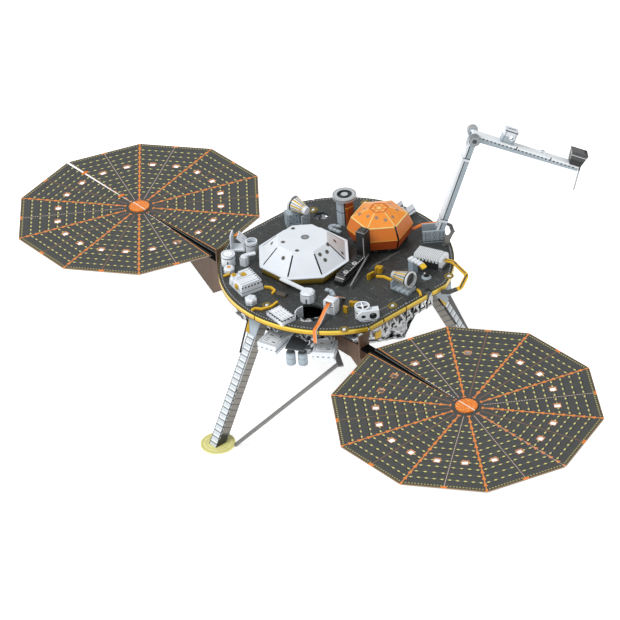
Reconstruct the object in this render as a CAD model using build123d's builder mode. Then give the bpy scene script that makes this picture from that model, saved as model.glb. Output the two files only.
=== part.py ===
"""Sheet-metal model of a stationary Mars lander, in millimetres, +Z up.

The origin lies on the floor under the deck's centre. +X runs towards the right solar panel
and +Y towards the arm's side of the deck.
"""
import os
from math import atan, cos, degrees, radians, sin, sqrt, tan

from build123d import *

os.makedirs("parts", exist_ok=True)

# Sheet and fits
SHEET = 0.3
FIT = 0.05
WIRE = 0.45

# Deck
DECK_TOP = 28.2
DECK_RADIUS = 24.0
DECK_FLAT = 2.3
DECK_THICKNESS = 0.6
RIM_HEIGHT = 1.3
RIM_GAP = 0.3
RIM_SPLITS = (-84.5, -50.0, -26.0, -17.0, -1.5, 40.0, 70.0, 110.0, 150.0, 200.0, 235.0)
PORT_PLACE = (9.7, -15.9)
PORT_RADIUS = 3.1
WINDOW_PLACE = (-15.0, 9.2)
WINDOW_RADIUS = 1.6
NOTCH_Y = 5.9
NOTCH_WIDTH = 1.6
NOTCH_DEPTH = 1.2

# Lower body
BODY_INSET = 1.3
BODY_DEPTH = 8.6
BODY_WALL = 0.5
BODY_SIDES = 6

# Legs
LEG_HEADINGS = {"front": -90.0, "right": 30.0, "left": 150.0}
LEG_FOOT_RADIUS = 34.4
LEG_TOP_INSET = 5.2
LEG_WIDTH = 2.2
LEG_DEPTH = 2.5
PAD_RADIUS = 3.6
PAD_THICKNESS = 0.3
BRACE_WIDTH = 1.2
BRACE_FOOT_ALONG = 3.2
BRACE_FOOT_INSET = 2.0
BRACE_TOP_OUT = 4.4
BRACE_TOP_ALONG = -4.3
BRACE_TAB = 6.0

# Solar panels
PANEL_REACH = 29.5
PANEL_Y = -12.5
PANEL_DROP = 3.7
PANEL_RADIUS = 27.0
PANEL_SIDES = 10
PANEL_DROOP = {"right": 0.6, "left": 2.7}
PANEL_SWEEP = {"right": 0.9, "left": 3.0}
SLOT_DECK_WIDTH = 1.2
SEAM_WIDTH = 0.2
SEAM_RIM_WIDTH = {"right": 0.25, "left": 0.7}
WINDOW_RING = 17.7
WINDOW_SIZE = 1.15
WINDOW_SPREAD = 8.8
HUB_RADIUS = 2.2
STRUT_WIDTH = 2.2
BRACKET_REACH = 20.8
BRACKET_APEX_OUT = 4.0
BRACKET_APEX_DROP = 10.5
BRACKET_KNEE_IN = 4.0
BRACKET_KNEE_DROP = 4.6
BRACKET_ROOT_DROP = 1.0
BRACKET_TAB_WIDTH = 2.6
BRACKET_TAB_RISE = 2.9

# White dome and its clamps
DOME_PLACE = (-4.9, -4.4)
DOME_SIDES = 8
DOME_RADIUS = 9.6
DOME_TOP_RADIUS = 5.4
DOME_BASE = 1.7
DOME_HEIGHT = 4.0
DOME_TURN = 28.0
DOME_LIP = 0.3
DOME_SLIT_LENGTH = 2.6
DOME_SLIT_WIDTH = 0.22
CLAMP_ARM_WIDTH = 0.9

# Orange dome
SEIS_PLACE = (0.7, 11.8)
SEIS_SIDES = 6
SEIS_TURN = -8.0
SEIS_BASE = 1.2
SEIS_FOOT_RADIUS = 6.2
SEIS_BELT_RADIUS = 6.9
SEIS_SHOULDER_RADIUS = 5.9
SEIS_TOP_RADIUS = 2.2
SEIS_SKIRT_HEIGHT = 2.4
SEIS_BELT_HEIGHT = 2.7
SEIS_CROWN_HEIGHT = 1.7
SEIS_SLIT = 0.35
STRAP_THICKNESS = 0.2
STRAP_WIDTH = 0.8

# Heat probe
POST_PLACE = (4.0, 4.2)
POST_SIZE = 2.1
POST_HEIGHT = 7.9
BEAM_TURN = 106.4
BEAM_LENGTH = 8.8
BEAM_WIDTH = 2.0
BEAM_HEIGHT = 2.1
BEAM_RIBS = 9
ROD_FOOT = (9.4, -4.3)
ROD_TOP = (5.25, 4.4)
ROD_RISE = 2.2

# Drum antenna
DRUM_PLACE = (-9.9, 11.6)
DRUM_SHANK_RADIUS = 1.9
DRUM_SHANK_HEIGHT = 6.0
DRUM_FLANGE_RADIUS = 2.55
DRUM_FLANGE_HEIGHT = 0.7
DRUM_CUP_RADIUS = 1.45
DRUM_BUTTON_RADIUS = 0.8

# Horn antennas
HORN_TAIL_RADIUS = 0.8
HORN_MOUTH_RADIUS = 1.75

# Tether box and strap
TETHER_PLACE = (12.7, -12.4)
TETHER_HEADING = -70.0
TETHER_LENGTH = 2.2
TETHER_WIDTH = 2.5
TETHER_BODY_HEIGHT = 1.9
TETHER_COLLAR_HEIGHT = 1.5

# Ribbed cover
COVER_PLACE = (14.6, 13.2)
COVER_TURN = 22.0
COVER_LENGTH = 6.3
COVER_WIDTH = 3.5
COVER_HEIGHT = 2.8
COVER_EAVES = 1.6
COVER_CROWN_WIDTH = 2.0
COVER_RIBS = 9
RIB_WIDTH = 0.36
RIB_RISE = 0.13
COVER_END = 0.7

# Thermal boxes, nozzles and pipes under the deck
BOX_TOP_DROP = 5.5
BOX_LENGTH = 4.4
BOX_WIDTH = 4.6
BOX_HEIGHT = 2.0
BOX_NECK = 2.6
NOZZLE_TOP_DROP = 6.2
NOZZLE_RADIUS = 1.0
NOZZLE_NECK_RADIUS = 0.45
NOZZLE_NECK_LENGTH = 0.6
NOZZLE_SHOULDER_LENGTH = 0.9
NOZZLE_BARREL_LENGTH = 2.7
NOZZLE_SIDES = 12
PIPE_ZIGZAGS = 7
PIPE_HALF_RUN = 7.2
PIPE_TOP_DROP = 1.7
PIPE_LOW_DROP = 3.9

# Arm
ARM_HEADING = 52.0
SHOULDER_PLACE = (8.8, 20.7)
SHOULDER_HEIGHT = 1.7
BASE_BACK = 3.4
BASE_FRONT = 1.3
BASE_RISE = 1.1
UPPER_LEAN = 19.3
UPPER_LENGTH = 24.0
UPPER_WIDTH = 1.6
WEB_INSET = 2.5
BAND_WIDTH = 0.6
BAND_RISE = 0.12
BAND_PLACES = (3.3, 18.6)
FOREARM_SLOPE = -24.5
FOREARM_LENGTH = 23.2
FOREARM_ROOT_DEPTH = 1.7
FOREARM_TIP_DEPTH = 1.2
FOREARM_HALF = 0.85
HOOP_ALONG = 14.9
HOOP_RADIUS = 0.7
CHEEK_GAP = 0.05
PIN_RADIUS = 0.4
DRUM_RADIUS = 1.15
DRUM_LENGTH = 1.3
CAMERA_ALONG = 6.9
CAMERA_LENGTH = 2.8
CAMERA_HEIGHT = 3.1
LENS_RADIUS = 0.4
SCOOP_ALONG = 19.7
SCOOP_FOOT_LENGTH = 2.4
SCOOP_MOUTH_LENGTH = 3.6
SCOOP_DEPTH = 2.9
SCOOP_HALF = 1.2
ROD_LENGTH = 6.2
ROD_LEAN = 14.0

# Derived places
DECK_UNDER = DECK_TOP - DECK_THICKNESS
DECK_HALF_WIDTH = DECK_RADIUS - DECK_FLAT
BODY_RADIUS = DECK_HALF_WIDTH - BODY_INSET
BODY_APOTHEM = BODY_RADIUS * cos(radians(180 / BODY_SIDES))
BODY_BOTTOM = DECK_UNDER - BODY_DEPTH
PANEL_Z = DECK_TOP - PANEL_DROP
HINGE_X = DECK_HALF_WIDTH + SHEET + FIT
DOME_LIP_TOP = DOME_BASE + SHEET
BOX_TOP = DECK_TOP - BOX_TOP_DROP
UPPER_IN = FOREARM_HALF + CHEEK_GAP
UPPER_OUT = UPPER_IN + SHEET
BASE_IN = UPPER_OUT + CHEEK_GAP
BASE_OUT = BASE_IN + SHEET


def save(piece, node):
    """Label a finished piece and write it as its own STEP file."""
    piece.part.label = node
    export_step(piece.part, f"parts/{node}.step")


def direction(heading):
    """Level unit vector along heading, in degrees from +X towards +Y."""
    return Vector(cos(radians(heading)), sin(radians(heading)), 0)


def on_deck(place, turn=0.0, height=0.0):
    """Level plane on the deck's top at place, turned about Z by turn degrees."""
    return Plane(origin=(*place, DECK_TOP + height), x_dir=direction(turn), z_dir=(0, 0, 1))


def along_deck(place, heading, height=0.0):
    """Upright plane on the deck at place: its x runs along heading and its y up."""
    return Plane(origin=(*place, DECK_TOP + height), x_dir=direction(heading), z_dir=direction(heading - 90))


def facing(place, heading, height=0.0):
    """Upright plane on the deck at place that faces along heading, with its y up."""
    return Plane(origin=(*place, DECK_TOP + height), x_dir=direction(heading + 90), z_dir=direction(heading))


def by_body(heading, along, out, height):
    """Point beside the body's face at heading, moved along it and out from it."""
    return direction(heading) * (BODY_APOTHEM + out) + direction(heading + 90) * along + Vector(0, 0, height)


def deck_outline(grow):
    """Sketch of the round deck with its two straight sides, grown by grow."""
    with BuildSketch() as outline:
        Circle(DECK_RADIUS + grow)
        Rectangle(2 * (DECK_HALF_WIDTH + grow), 4 * DECK_RADIUS, mode=Mode.INTERSECT)
    return outline.sketch


def draft(low_radius, high_radius, height, sides):
    """Taper in degrees that brings a polygon's corners from low_radius to high_radius."""
    return degrees(atan((low_radius - high_radius) * cos(radians(180 / sides)) / height))


# Deck plate
with BuildPart() as deck:
    with BuildSketch(Plane.XY.offset(DECK_UNDER)):
        add(deck_outline(0))
        with Locations(PORT_PLACE):
            Circle(PORT_RADIUS, mode=Mode.SUBTRACT)
        with Locations(WINDOW_PLACE):
            RegularPolygon(WINDOW_RADIUS, 6, mode=Mode.SUBTRACT)
        with Locations((DECK_HALF_WIDTH, NOTCH_Y)):
            Rectangle(2 * NOTCH_DEPTH, NOTCH_WIDTH, mode=Mode.SUBTRACT)
    extrude(amount=DECK_THICKNESS)
save(deck, "deck")

# Rim band around the deck's edge, in lengths with a small gap between them
with BuildPart() as deck_rim:
    with BuildSketch(Plane.XY.offset(DECK_TOP - RIM_HEIGHT)):
        add(deck_outline(SHEET))
        add(deck_outline(FIT / 2), mode=Mode.SUBTRACT)
        with Locations((DECK_HALF_WIDTH, NOTCH_Y)):
            Rectangle(2 * NOTCH_DEPTH, NOTCH_WIDTH, mode=Mode.SUBTRACT)
        for heading in RIM_SPLITS:
            with PolarLocations(DECK_RADIUS, 1, start_angle=heading):
                Rectangle(DECK_RADIUS / 2, RIM_GAP, mode=Mode.SUBTRACT)
    extrude(amount=RIM_HEIGHT)
save(deck_rim, "deck_rim")

# Hexagonal lower body, an open-topped tub under the deck
with BuildPart() as lower_body:
    with BuildSketch(Plane.XY.offset(BODY_BOTTOM)):
        RegularPolygon(BODY_RADIUS, BODY_SIDES)
    extrude(amount=BODY_DEPTH)
    with BuildSketch(Plane.XY.offset(BODY_BOTTOM + BODY_WALL)):
        RegularPolygon(BODY_RADIUS - BODY_WALL, BODY_SIDES)
    extrude(amount=BODY_DEPTH - BODY_WALL, mode=Mode.SUBTRACT)
save(lower_body, "lower_body")

# Legs: folded channels from the foot pads to the underside of the deck
for side, heading in LEG_HEADINGS.items():
    out = direction(heading)
    foot = out * LEG_FOOT_RADIUS + Vector(0, 0, PAD_THICKNESS)
    top = out * (DECK_RADIUS - LEG_TOP_INSET) + Vector(0, 0, DECK_UNDER)
    leg_axis = (top - foot).normalized()
    overrun = 2 * LEG_DEPTH
    with BuildPart() as leg:
        with BuildSketch(Plane(origin=foot - leg_axis * overrun, x_dir=direction(heading + 90), z_dir=leg_axis)):
            Rectangle(LEG_WIDTH, LEG_DEPTH)
            with Locations((0, SHEET)):
                Rectangle(LEG_WIDTH - 2 * SHEET, LEG_DEPTH, mode=Mode.SUBTRACT)
        extrude(amount=(top - foot).length + 2 * overrun)
        split(bisect_by=Plane.XY.offset(PAD_THICKNESS), keep=Keep.TOP)
        split(bisect_by=Plane.XY.offset(DECK_UNDER), keep=Keep.BOTTOM)
        split(bisect_by=Plane(origin=out * BODY_APOTHEM, z_dir=out), keep=Keep.TOP)
    save(leg, f"leg_{side}")

    with BuildPart() as foot_pad:
        with BuildSketch(Plane(origin=out * LEG_FOOT_RADIUS)):
            Circle(PAD_RADIUS)
        extrude(amount=PAD_THICKNESS)
    save(foot_pad, f"foot_pad_{side}")

    beside = heading + 60
    low = out * (LEG_FOOT_RADIUS - BRACE_FOOT_INSET) + direction(heading + 90) * BRACE_FOOT_ALONG
    low += Vector(0, 0, PAD_THICKNESS)
    high = by_body(beside, BRACE_TOP_ALONG, BRACE_TOP_OUT, BODY_BOTTOM - SHEET / 2)
    run = (high - low).normalized()
    flat = run.cross(Vector(0, 0, 1)).normalized()
    with BuildPart() as brace:
        with BuildSketch(Plane(origin=low - run, x_dir=flat, z_dir=run)):
            Rectangle(BRACE_WIDTH, SHEET)
        extrude(amount=(high - low).length + 1)
        split(bisect_by=Plane.XY.offset(PAD_THICKNESS), keep=Keep.TOP)
        with BuildSketch(Plane(origin=high - Vector(0, 0, SHEET / 2), x_dir=direction(beside + 180))):
            with Locations((BRACE_TAB / 2 - BRACE_WIDTH / 2, 0)):
                Rectangle(BRACE_TAB + BRACE_WIDTH, BRACE_WIDTH)
        extrude(amount=SHEET)
    save(brace, f"leg_brace_{side}")

# Solar panels: two half decagons, hub disc, strut and bracket on each side
for side, sign in (("right", 1), ("left", -1)):
    droop = radians(PANEL_DROOP[side])
    swing = radians(PANEL_SWEEP[side])
    outward = Vector(sign * cos(swing), sin(swing), 0)
    hinge = Vector(sign * HINGE_X, PANEL_Y, PANEL_Z)
    wing = Plane(
        origin=hinge,
        x_dir=outward * cos(droop) - Vector(0, 0, sin(droop)),
        z_dir=outward * sin(droop) + Vector(0, 0, cos(droop)),
    )
    gore = 360 / PANEL_SIDES
    rim = PANEL_RADIUS + SHEET
    with BuildPart() as panel:
        with BuildSketch(wing):
            with Locations((PANEL_REACH, 0)):
                RegularPolygon(PANEL_RADIUS, PANEL_SIDES)
            for end, half in ((-rim, SLOT_DECK_WIDTH / 2), (rim, SEAM_RIM_WIDTH[side] / 2)):
                with BuildLine():
                    Polyline(
                        (PANEL_REACH, SEAM_WIDTH / 2),
                        (PANEL_REACH + end, half),
                        (PANEL_REACH + end, -half),
                        (PANEL_REACH, -SEAM_WIDTH / 2),
                        close=True,
                    )
                make_face(mode=Mode.SUBTRACT)
            with Locations((PANEL_REACH, 0)):
                for index in range(PANEL_SIDES):
                    for spread in (-WINDOW_SPREAD, WINDOW_SPREAD):
                        with PolarLocations(WINDOW_RING, 1, start_angle=(index + 0.5) * gore + spread):
                            Rectangle(WINDOW_SIZE, WINDOW_SIZE, mode=Mode.SUBTRACT)
        extrude(amount=SHEET)
    save(panel, f"panel_{side}")

    with BuildPart() as hub:
        with BuildSketch(wing.offset(SHEET)):
            with Locations((PANEL_REACH, 0)):
                Circle(HUB_RADIUS)
        extrude(amount=SHEET)
    save(hub, f"panel_hub_{side}")

    strut_start = SHEET + FIT
    strut_end = PANEL_REACH + HUB_RADIUS
    with BuildPart() as strut:
        with BuildSketch(wing.offset(-SHEET)):
            with Locations(((strut_start + strut_end) / 2, 0)):
                Rectangle(strut_end - strut_start, STRUT_WIDTH)
        extrude(amount=SHEET)
    save(strut, f"panel_strut_{side}")

    root = BODY_RADIUS + PANEL_Y / tan(radians(60)) + SHEET - HINGE_X
    under = -SHEET / cos(droop) - FIT
    with BuildPart() as bracket:
        with BuildSketch(Plane(origin=hinge, x_dir=outward, z_dir=outward.cross(Vector(0, 0, 1)))):
            with BuildLine():
                Polyline(
                    (root, -BRACKET_ROOT_DROP),
                    (root, -BRACKET_KNEE_DROP),
                    (-BRACKET_KNEE_IN, -BRACKET_KNEE_DROP),
                    (BRACKET_APEX_OUT, -BRACKET_APEX_DROP),
                    (BRACKET_REACH, under - BRACKET_REACH * tan(droop)),
                    (0, under),
                    close=True,
                )
            make_face()
        extrude(amount=SHEET / 2, both=True)
        with BuildSketch(Plane.XY.offset(PANEL_Z - BRACKET_TAB_WIDTH)):
            with Locations((sign * (HINGE_X + SHEET / 2), PANEL_Y)):
                Rectangle(SHEET, BRACKET_TAB_WIDTH)
        extrude(amount=BRACKET_TAB_RISE + BRACKET_TAB_WIDTH)
    save(bracket, f"panel_bracket_{side}")

# White dome: eight facets that part along slits at their seams, with a folded lip
with BuildPart() as dome_ring:
    with BuildSketch(on_deck(DOME_PLACE, DOME_TURN)):
        RegularPolygon(DOME_RADIUS - SHEET / 2, DOME_SIDES)
        RegularPolygon(DOME_RADIUS - 2 * SHEET, DOME_SIDES, mode=Mode.SUBTRACT)
    extrude(amount=DOME_BASE)
save(dome_ring, "dome_ring")

dome_draft = draft(DOME_RADIUS, DOME_TOP_RADIUS, DOME_HEIGHT, DOME_SIDES)
dome_plane = on_deck(DOME_PLACE, DOME_TURN, DOME_BASE)
dome_inside = DOME_RADIUS - 1.5 * SHEET
with BuildPart() as dome:
    with BuildSketch(dome_plane):
        RegularPolygon(DOME_RADIUS, DOME_SIDES)
    extrude(amount=DOME_HEIGHT, taper=dome_draft)
    with BuildSketch(dome_plane):
        RegularPolygon(DOME_RADIUS + DOME_LIP, DOME_SIDES)
    extrude(amount=SHEET)
    with BuildSketch(dome_plane):
        RegularPolygon(dome_inside, DOME_SIDES)
    extrude(amount=DOME_HEIGHT - SHEET, taper=dome_draft, mode=Mode.SUBTRACT)
    with BuildSketch(dome_plane.offset(SHEET)):
        with PolarLocations(dome_inside - DOME_SLIT_LENGTH / 2, DOME_SIDES):
            Rectangle(DOME_SLIT_LENGTH, DOME_SLIT_WIDTH)
    extrude(amount=DOME_HEIGHT, mode=Mode.SUBTRACT)
save(dome, "dome")

# Clamps that hold the dome's lip down: box place, turn, size, height, then the arm's end on the lip
CLAMPS = (
    ((6.1, -13.0), 35.0, 2.8, 2.3, (-1.2, -13.8)),
    ((-13.0, -13.6), 35.0, 1.8, 2.0, (-12.0, -11.4)),
)
with BuildPart() as clamp_box:
    for place, turn, size, height, arm_end in CLAMPS:
        with BuildPart(mode=Mode.PRIVATE) as block:
            with BuildSketch(on_deck(place, turn)):
                Rectangle(size, size)
            extrude(amount=height)
            chamfer(block.edges().filter_by(Axis.Z), size / 4)
            chamfer(block.faces().sort_by(Axis.Z)[-1].edges(), size / 8)
        add(block.part)
        with BuildSketch(on_deck((0, 0), 0, DOME_LIP_TOP)):
            with BuildLine():
                Polyline(place, arm_end)
            trace(line_width=CLAMP_ARM_WIDTH)
        extrude(amount=SHEET)
save(clamp_box, "clamp_box")

# Orange six-sided dome: corner radius at the foot and top of each band, and the band's height
SEIS_BANDS = (
    (SEIS_FOOT_RADIUS, SEIS_BELT_RADIUS, SEIS_SKIRT_HEIGHT),
    (SEIS_BELT_RADIUS, SEIS_SHOULDER_RADIUS, SEIS_BELT_HEIGHT),
    (SEIS_SHOULDER_RADIUS, SEIS_TOP_RADIUS, SEIS_CROWN_HEIGHT),
)
with BuildPart() as seis_base:
    with BuildSketch(on_deck(SEIS_PLACE, SEIS_TURN)):
        RegularPolygon(SEIS_FOOT_RADIUS - 2 * SHEET, SEIS_SIDES)
    extrude(amount=SEIS_BASE)
save(seis_base, "seismometer_base")

with BuildPart() as seis:
    level = SEIS_BASE
    for low_radius, high_radius, height in SEIS_BANDS:
        with BuildSketch(on_deck(SEIS_PLACE, SEIS_TURN, level)):
            RegularPolygon(low_radius, SEIS_SIDES)
        extrude(amount=height, taper=draft(low_radius, high_radius, height, SEIS_SIDES))
        level += height
    with BuildSketch(on_deck(SEIS_PLACE, SEIS_TURN, SEIS_BASE)):
        with Locations((SEIS_BELT_RADIUS, 0)):
            Rectangle(2 * (SEIS_BELT_RADIUS - SEIS_FOOT_RADIUS) + SEIS_SLIT, SEIS_SLIT)
    extrude(amount=SEIS_SKIRT_HEIGHT + SEIS_BELT_HEIGHT / 2, mode=Mode.SUBTRACT)
save(seis, "seismometer")

# Strap from the orange dome's corner, round behind the arm's base and down to a plate near the rim
LINK_HEIGHT = 2.0
LINK_ROUTE = ((4.8, 17.05), (5.0, 19.6), (7.35, 23.1), (9.45, 23.5), (11.45, 22.2))
LINK_FALL = (1.2, 1.7, 3.0)
LINK_FOOT_HEADING = -86.0
LINK_PLATE = (11.9, 19.9)
LINK_PLATE_WIDTH = 1.3
LINK_PLATE_HEIGHT = 2.4
with BuildPart() as link_strap:
    with BuildSketch(on_deck((0, 0), 0, LINK_HEIGHT)):
        with BuildLine():
            FilletPolyline(*LINK_ROUTE, radius=STRAP_WIDTH)
        trace(line_width=STRAP_WIDTH)
    extrude(amount=STRAP_THICKNESS)
    bend, landing, end = LINK_FALL
    with BuildSketch(along_deck(LINK_ROUTE[-1], LINK_FOOT_HEADING)):
        with BuildLine():
            Polyline(
                (-STRAP_WIDTH / 2, LINK_HEIGHT + STRAP_THICKNESS / 2),
                (0, LINK_HEIGHT + STRAP_THICKNESS / 2),
                (bend, LINK_HEIGHT / 2),
                (landing, STRAP_THICKNESS / 2),
                (end, STRAP_THICKNESS / 2),
            )
        trace(line_width=STRAP_THICKNESS)
    extrude(amount=STRAP_WIDTH / 2, both=True)
    with BuildSketch(facing(LINK_PLATE, 0.0)):
        with Locations((0, LINK_PLATE_HEIGHT / 2)):
            Rectangle(LINK_PLATE_WIDTH, LINK_PLATE_HEIGHT)
    extrude(amount=SHEET)
save(link_strap, "link_strap")

# Heat probe: upright post, the ribbed beam that leans on it, and a bent rod in front
with BuildPart() as probe_post:
    with BuildSketch(on_deck(POST_PLACE, BEAM_TURN)):
        Rectangle(POST_SIZE, POST_SIZE)
    extrude(amount=POST_HEIGHT)
    chamfer(probe_post.faces().sort_by(Axis.Z)[-1].edges(), SHEET)
save(probe_post, "probe_post")

beam_end = Vector(*POST_PLACE) - direction(BEAM_TURN) * (POST_SIZE / 2 + FIT)
beam_plane = along_deck((beam_end.X, beam_end.Y), BEAM_TURN + 180)
with BuildPart() as probe_beam:
    with BuildSketch(beam_plane):
        with BuildLine():
            Polyline(
                (0, 0),
                (0, BEAM_HEIGHT),
                (BEAM_LENGTH - BEAM_HEIGHT / 2, BEAM_HEIGHT),
                (BEAM_LENGTH, BEAM_HEIGHT / 2),
                (BEAM_LENGTH, 0),
                close=True,
            )
        make_face()
    extrude(amount=BEAM_WIDTH / 2, both=True)
    with BuildSketch(beam_plane):
        with Locations((BEAM_LENGTH / 2, BEAM_HEIGHT)):
            with GridLocations(BEAM_LENGTH / (BEAM_RIBS + 1), 0, BEAM_RIBS, 1):
                Rectangle(SHEET, SHEET)
    extrude(amount=BEAM_WIDTH / 2 - SHEET, both=True, mode=Mode.SUBTRACT)
save(probe_beam, "probe_beam")

with BuildPart() as probe_rod:
    span = Vector(*ROD_TOP) - Vector(*ROD_FOOT)
    with BuildSketch(along_deck(ROD_FOOT, degrees(atan(span.Y / span.X)) + 180)):
        with BuildLine():
            Polyline((0, 0), (0, ROD_RISE / 3), (span.length, ROD_RISE))
        trace(line_width=SHEET)
    extrude(amount=SHEET / 2, both=True)
save(probe_rod, "probe_rod")

# Drum antenna: eight-sided shank under a round flange with a cup and a button in it
with BuildPart() as drum_antenna:
    with BuildSketch(on_deck(DRUM_PLACE, 22.5)):
        RegularPolygon(DRUM_SHANK_RADIUS, 8)
    extrude(amount=DRUM_SHANK_HEIGHT)
    with BuildSketch(on_deck(DRUM_PLACE, 0, DRUM_SHANK_HEIGHT)):
        Circle(DRUM_FLANGE_RADIUS)
    extrude(amount=DRUM_FLANGE_HEIGHT)
    with BuildSketch(on_deck(DRUM_PLACE, 0, DRUM_SHANK_HEIGHT + SHEET)):
        Circle(DRUM_CUP_RADIUS)
    extrude(amount=DRUM_FLANGE_HEIGHT, mode=Mode.SUBTRACT)
    with BuildSketch(on_deck(DRUM_PLACE, 0, DRUM_SHANK_HEIGHT)):
        Circle(DRUM_BUTTON_RADIUS)
    extrude(amount=DRUM_FLANGE_HEIGHT)
save(drum_antenna, "drum_antenna")

# Horn antennas: node, tail and mouth as x, y and height above the deck
HORNS = (
    ("front_horn", (14.6, 2.7, 2.5), (19.2, 3.5, 3.0)),
    ("back_horn", (-12.7, 3.6, 4.9), (-16.9, 3.3, 5.3)),
)
for node, tail, mouth in HORNS:
    start = Vector(*tail) + Vector(0, 0, DECK_TOP)
    run = Vector(*mouth) - Vector(*tail)
    with BuildPart() as horn:
        with BuildSketch(Plane(origin=start, x_dir=run, z_dir=run.cross(Vector(0, 0, 1)))):
            with BuildLine():
                Polyline(
                    (0, 0),
                    (0, HORN_TAIL_RADIUS),
                    (run.length, HORN_MOUTH_RADIUS),
                    (run.length, HORN_MOUTH_RADIUS - SHEET),
                    (SHEET, HORN_TAIL_RADIUS - SHEET),
                    (SHEET, 0),
                    close=True,
                )
            make_face()
        revolve(axis=Axis(start, run))
    save(horn, node)

# Front horn's bracket: a folded plate with a flange under the tail and one under the mouth
HORN_BRACKET_PLACE = (17.2, 3.0)
HORN_BRACKET_TURN = 10.0
HORN_BRACKET_LENGTH = 4.2
HORN_BRACKET_WIDTH = 2.6
with BuildPart() as horn_bracket:
    with BuildSketch(along_deck(HORN_BRACKET_PLACE, HORN_BRACKET_TURN)):
        with BuildLine():
            Polyline(
                (-HORN_BRACKET_LENGTH / 2, HORN_MOUTH_RADIUS - FIT),
                (-HORN_BRACKET_LENGTH / 2, SHEET / 2),
                (HORN_BRACKET_LENGTH / 2, SHEET / 2),
                (HORN_BRACKET_LENGTH / 2, HORN_TAIL_RADIUS),
            )
        trace(line_width=SHEET)
    extrude(amount=HORN_BRACKET_WIDTH / 2, both=True)
save(horn_bracket, "horn_bracket")

# Back horn's box, and a plate under the horn's tail
BACK_BOX_PLACE = (-17.0, 3.0)
BACK_BOX_HEIGHT = 3.2
BACK_PLATE_PLACE = (-13.6, 3.7)
BACK_PLATE_HEIGHT = 3.7
with BuildPart() as back_horn_box:
    with BuildSketch(on_deck(BACK_BOX_PLACE, 66.0)):
        Rectangle(2.9, 2.4)
    extrude(amount=BACK_BOX_HEIGHT)
    chamfer(back_horn_box.edges().filter_by(Axis.Z), SHEET)
    with BuildSketch(facing(BACK_PLATE_PLACE, 0.0)):
        with Locations((0, BACK_PLATE_HEIGHT / 2)):
            Rectangle(2.2, BACK_PLATE_HEIGHT)
    extrude(amount=SHEET)
    with BuildSketch(on_deck(BACK_PLATE_PLACE)):
        with Locations((-1.0, -0.3)):
            Rectangle(2.6, 1.4)
    extrude(amount=SHEET)
save(back_horn_box, "back_horn_box")

# Hook between the domes, and a clip beside the tether box, each on a foot
HOOK_HEIGHT = 1.1
HOOK_WIDTH = 0.8
HOOK_BEND = 0.5
HOOK_ROUTES = (
    ((-7.6, 8.2), (-9.4, 7.2), (-8.9, 6.2), (-6.0, 6.7)),
    ((7.2, -9.2), (8.6, -8.8), (10.2, -9.6)),
)
with BuildPart() as hook_bracket:
    for route in HOOK_ROUTES:
        with BuildSketch(on_deck((0, 0), 0, HOOK_HEIGHT)):
            with BuildLine():
                FilletPolyline(*route, radius=HOOK_BEND)
            trace(line_width=HOOK_WIDTH)
        extrude(amount=SHEET)
        with BuildSketch(on_deck(route[1])):
            RegularPolygon(WIRE, 6)
        extrude(amount=HOOK_HEIGHT)
save(hook_bracket, "hook_bracket")

# Gimbal at the left edge: folded bracket with a drilled cheek, and the open cup beside it
GIMBAL_PLACE = (-18.4, -10.6)
GIMBAL_TURN = 40.0
GIMBAL_LENGTH = 2.8
GIMBAL_WIDTH = 2.6
GIMBAL_HEIGHT = 3.6
CUP_PLACE = (-15.5, -9.5)
CUP_RADIUS = 1.25
CUP_HEIGHT = 2.6
with BuildPart() as gimbal_base:
    with BuildSketch(along_deck(GIMBAL_PLACE, GIMBAL_TURN)):
        with BuildLine():
            Polyline(
                (-GIMBAL_LENGTH / 2, GIMBAL_HEIGHT),
                (-GIMBAL_LENGTH / 2, SHEET / 2),
                (GIMBAL_LENGTH / 2, SHEET / 2),
                (GIMBAL_LENGTH / 2, GIMBAL_HEIGHT / 2),
                (0, GIMBAL_HEIGHT - SHEET),
            )
        trace(line_width=SHEET)
    extrude(amount=GIMBAL_WIDTH / 2, both=True)
    with BuildSketch(facing(GIMBAL_PLACE, GIMBAL_TURN)):
        with Locations((0, GIMBAL_HEIGHT / 3)):
            Circle(GIMBAL_WIDTH / 5)
    extrude(amount=GIMBAL_LENGTH, mode=Mode.SUBTRACT)
save(gimbal_base, "gimbal_base")

with BuildPart() as gimbal_dish:
    with BuildSketch(on_deck(CUP_PLACE)):
        Circle(CUP_RADIUS)
    extrude(amount=CUP_HEIGHT)
    with BuildSketch(on_deck(CUP_PLACE, 0, CUP_HEIGHT / 2)):
        Circle(CUP_RADIUS - SHEET)
    extrude(amount=CUP_HEIGHT / 2, mode=Mode.SUBTRACT)
save(gimbal_dish, "gimbal_dish")

# Canister at the rim, and the short faceted cap beside it
CANISTER_PLACE = (-15.4, -15.9)
CANISTER_RADIUS = 1.45
CANISTER_HEIGHT = 2.6
CAP_PLACE = (-13.2, -17.6)
CAP_RADIUS = 1.15
CAP_HEIGHT = 1.2
with BuildPart() as canister:
    with BuildSketch(on_deck(CANISTER_PLACE)):
        Circle(CANISTER_RADIUS)
    extrude(amount=CANISTER_HEIGHT)
    with BuildSketch(on_deck(CANISTER_PLACE, 0, CANISTER_HEIGHT - 2 * SHEET)):
        Circle(CANISTER_RADIUS)
        Circle(CANISTER_RADIUS - SHEET / 2, mode=Mode.SUBTRACT)
    extrude(amount=SHEET / 2, mode=Mode.SUBTRACT)
save(canister, "canister")

with BuildPart() as small_can:
    with BuildSketch(on_deck(CAP_PLACE, 20.0)):
        RegularPolygon(CAP_RADIUS, 8)
    extrude(amount=CAP_HEIGHT)
    chamfer(small_can.faces().sort_by(Axis.Z)[-1].edges(), SHEET)
save(small_can, "small_can")

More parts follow.
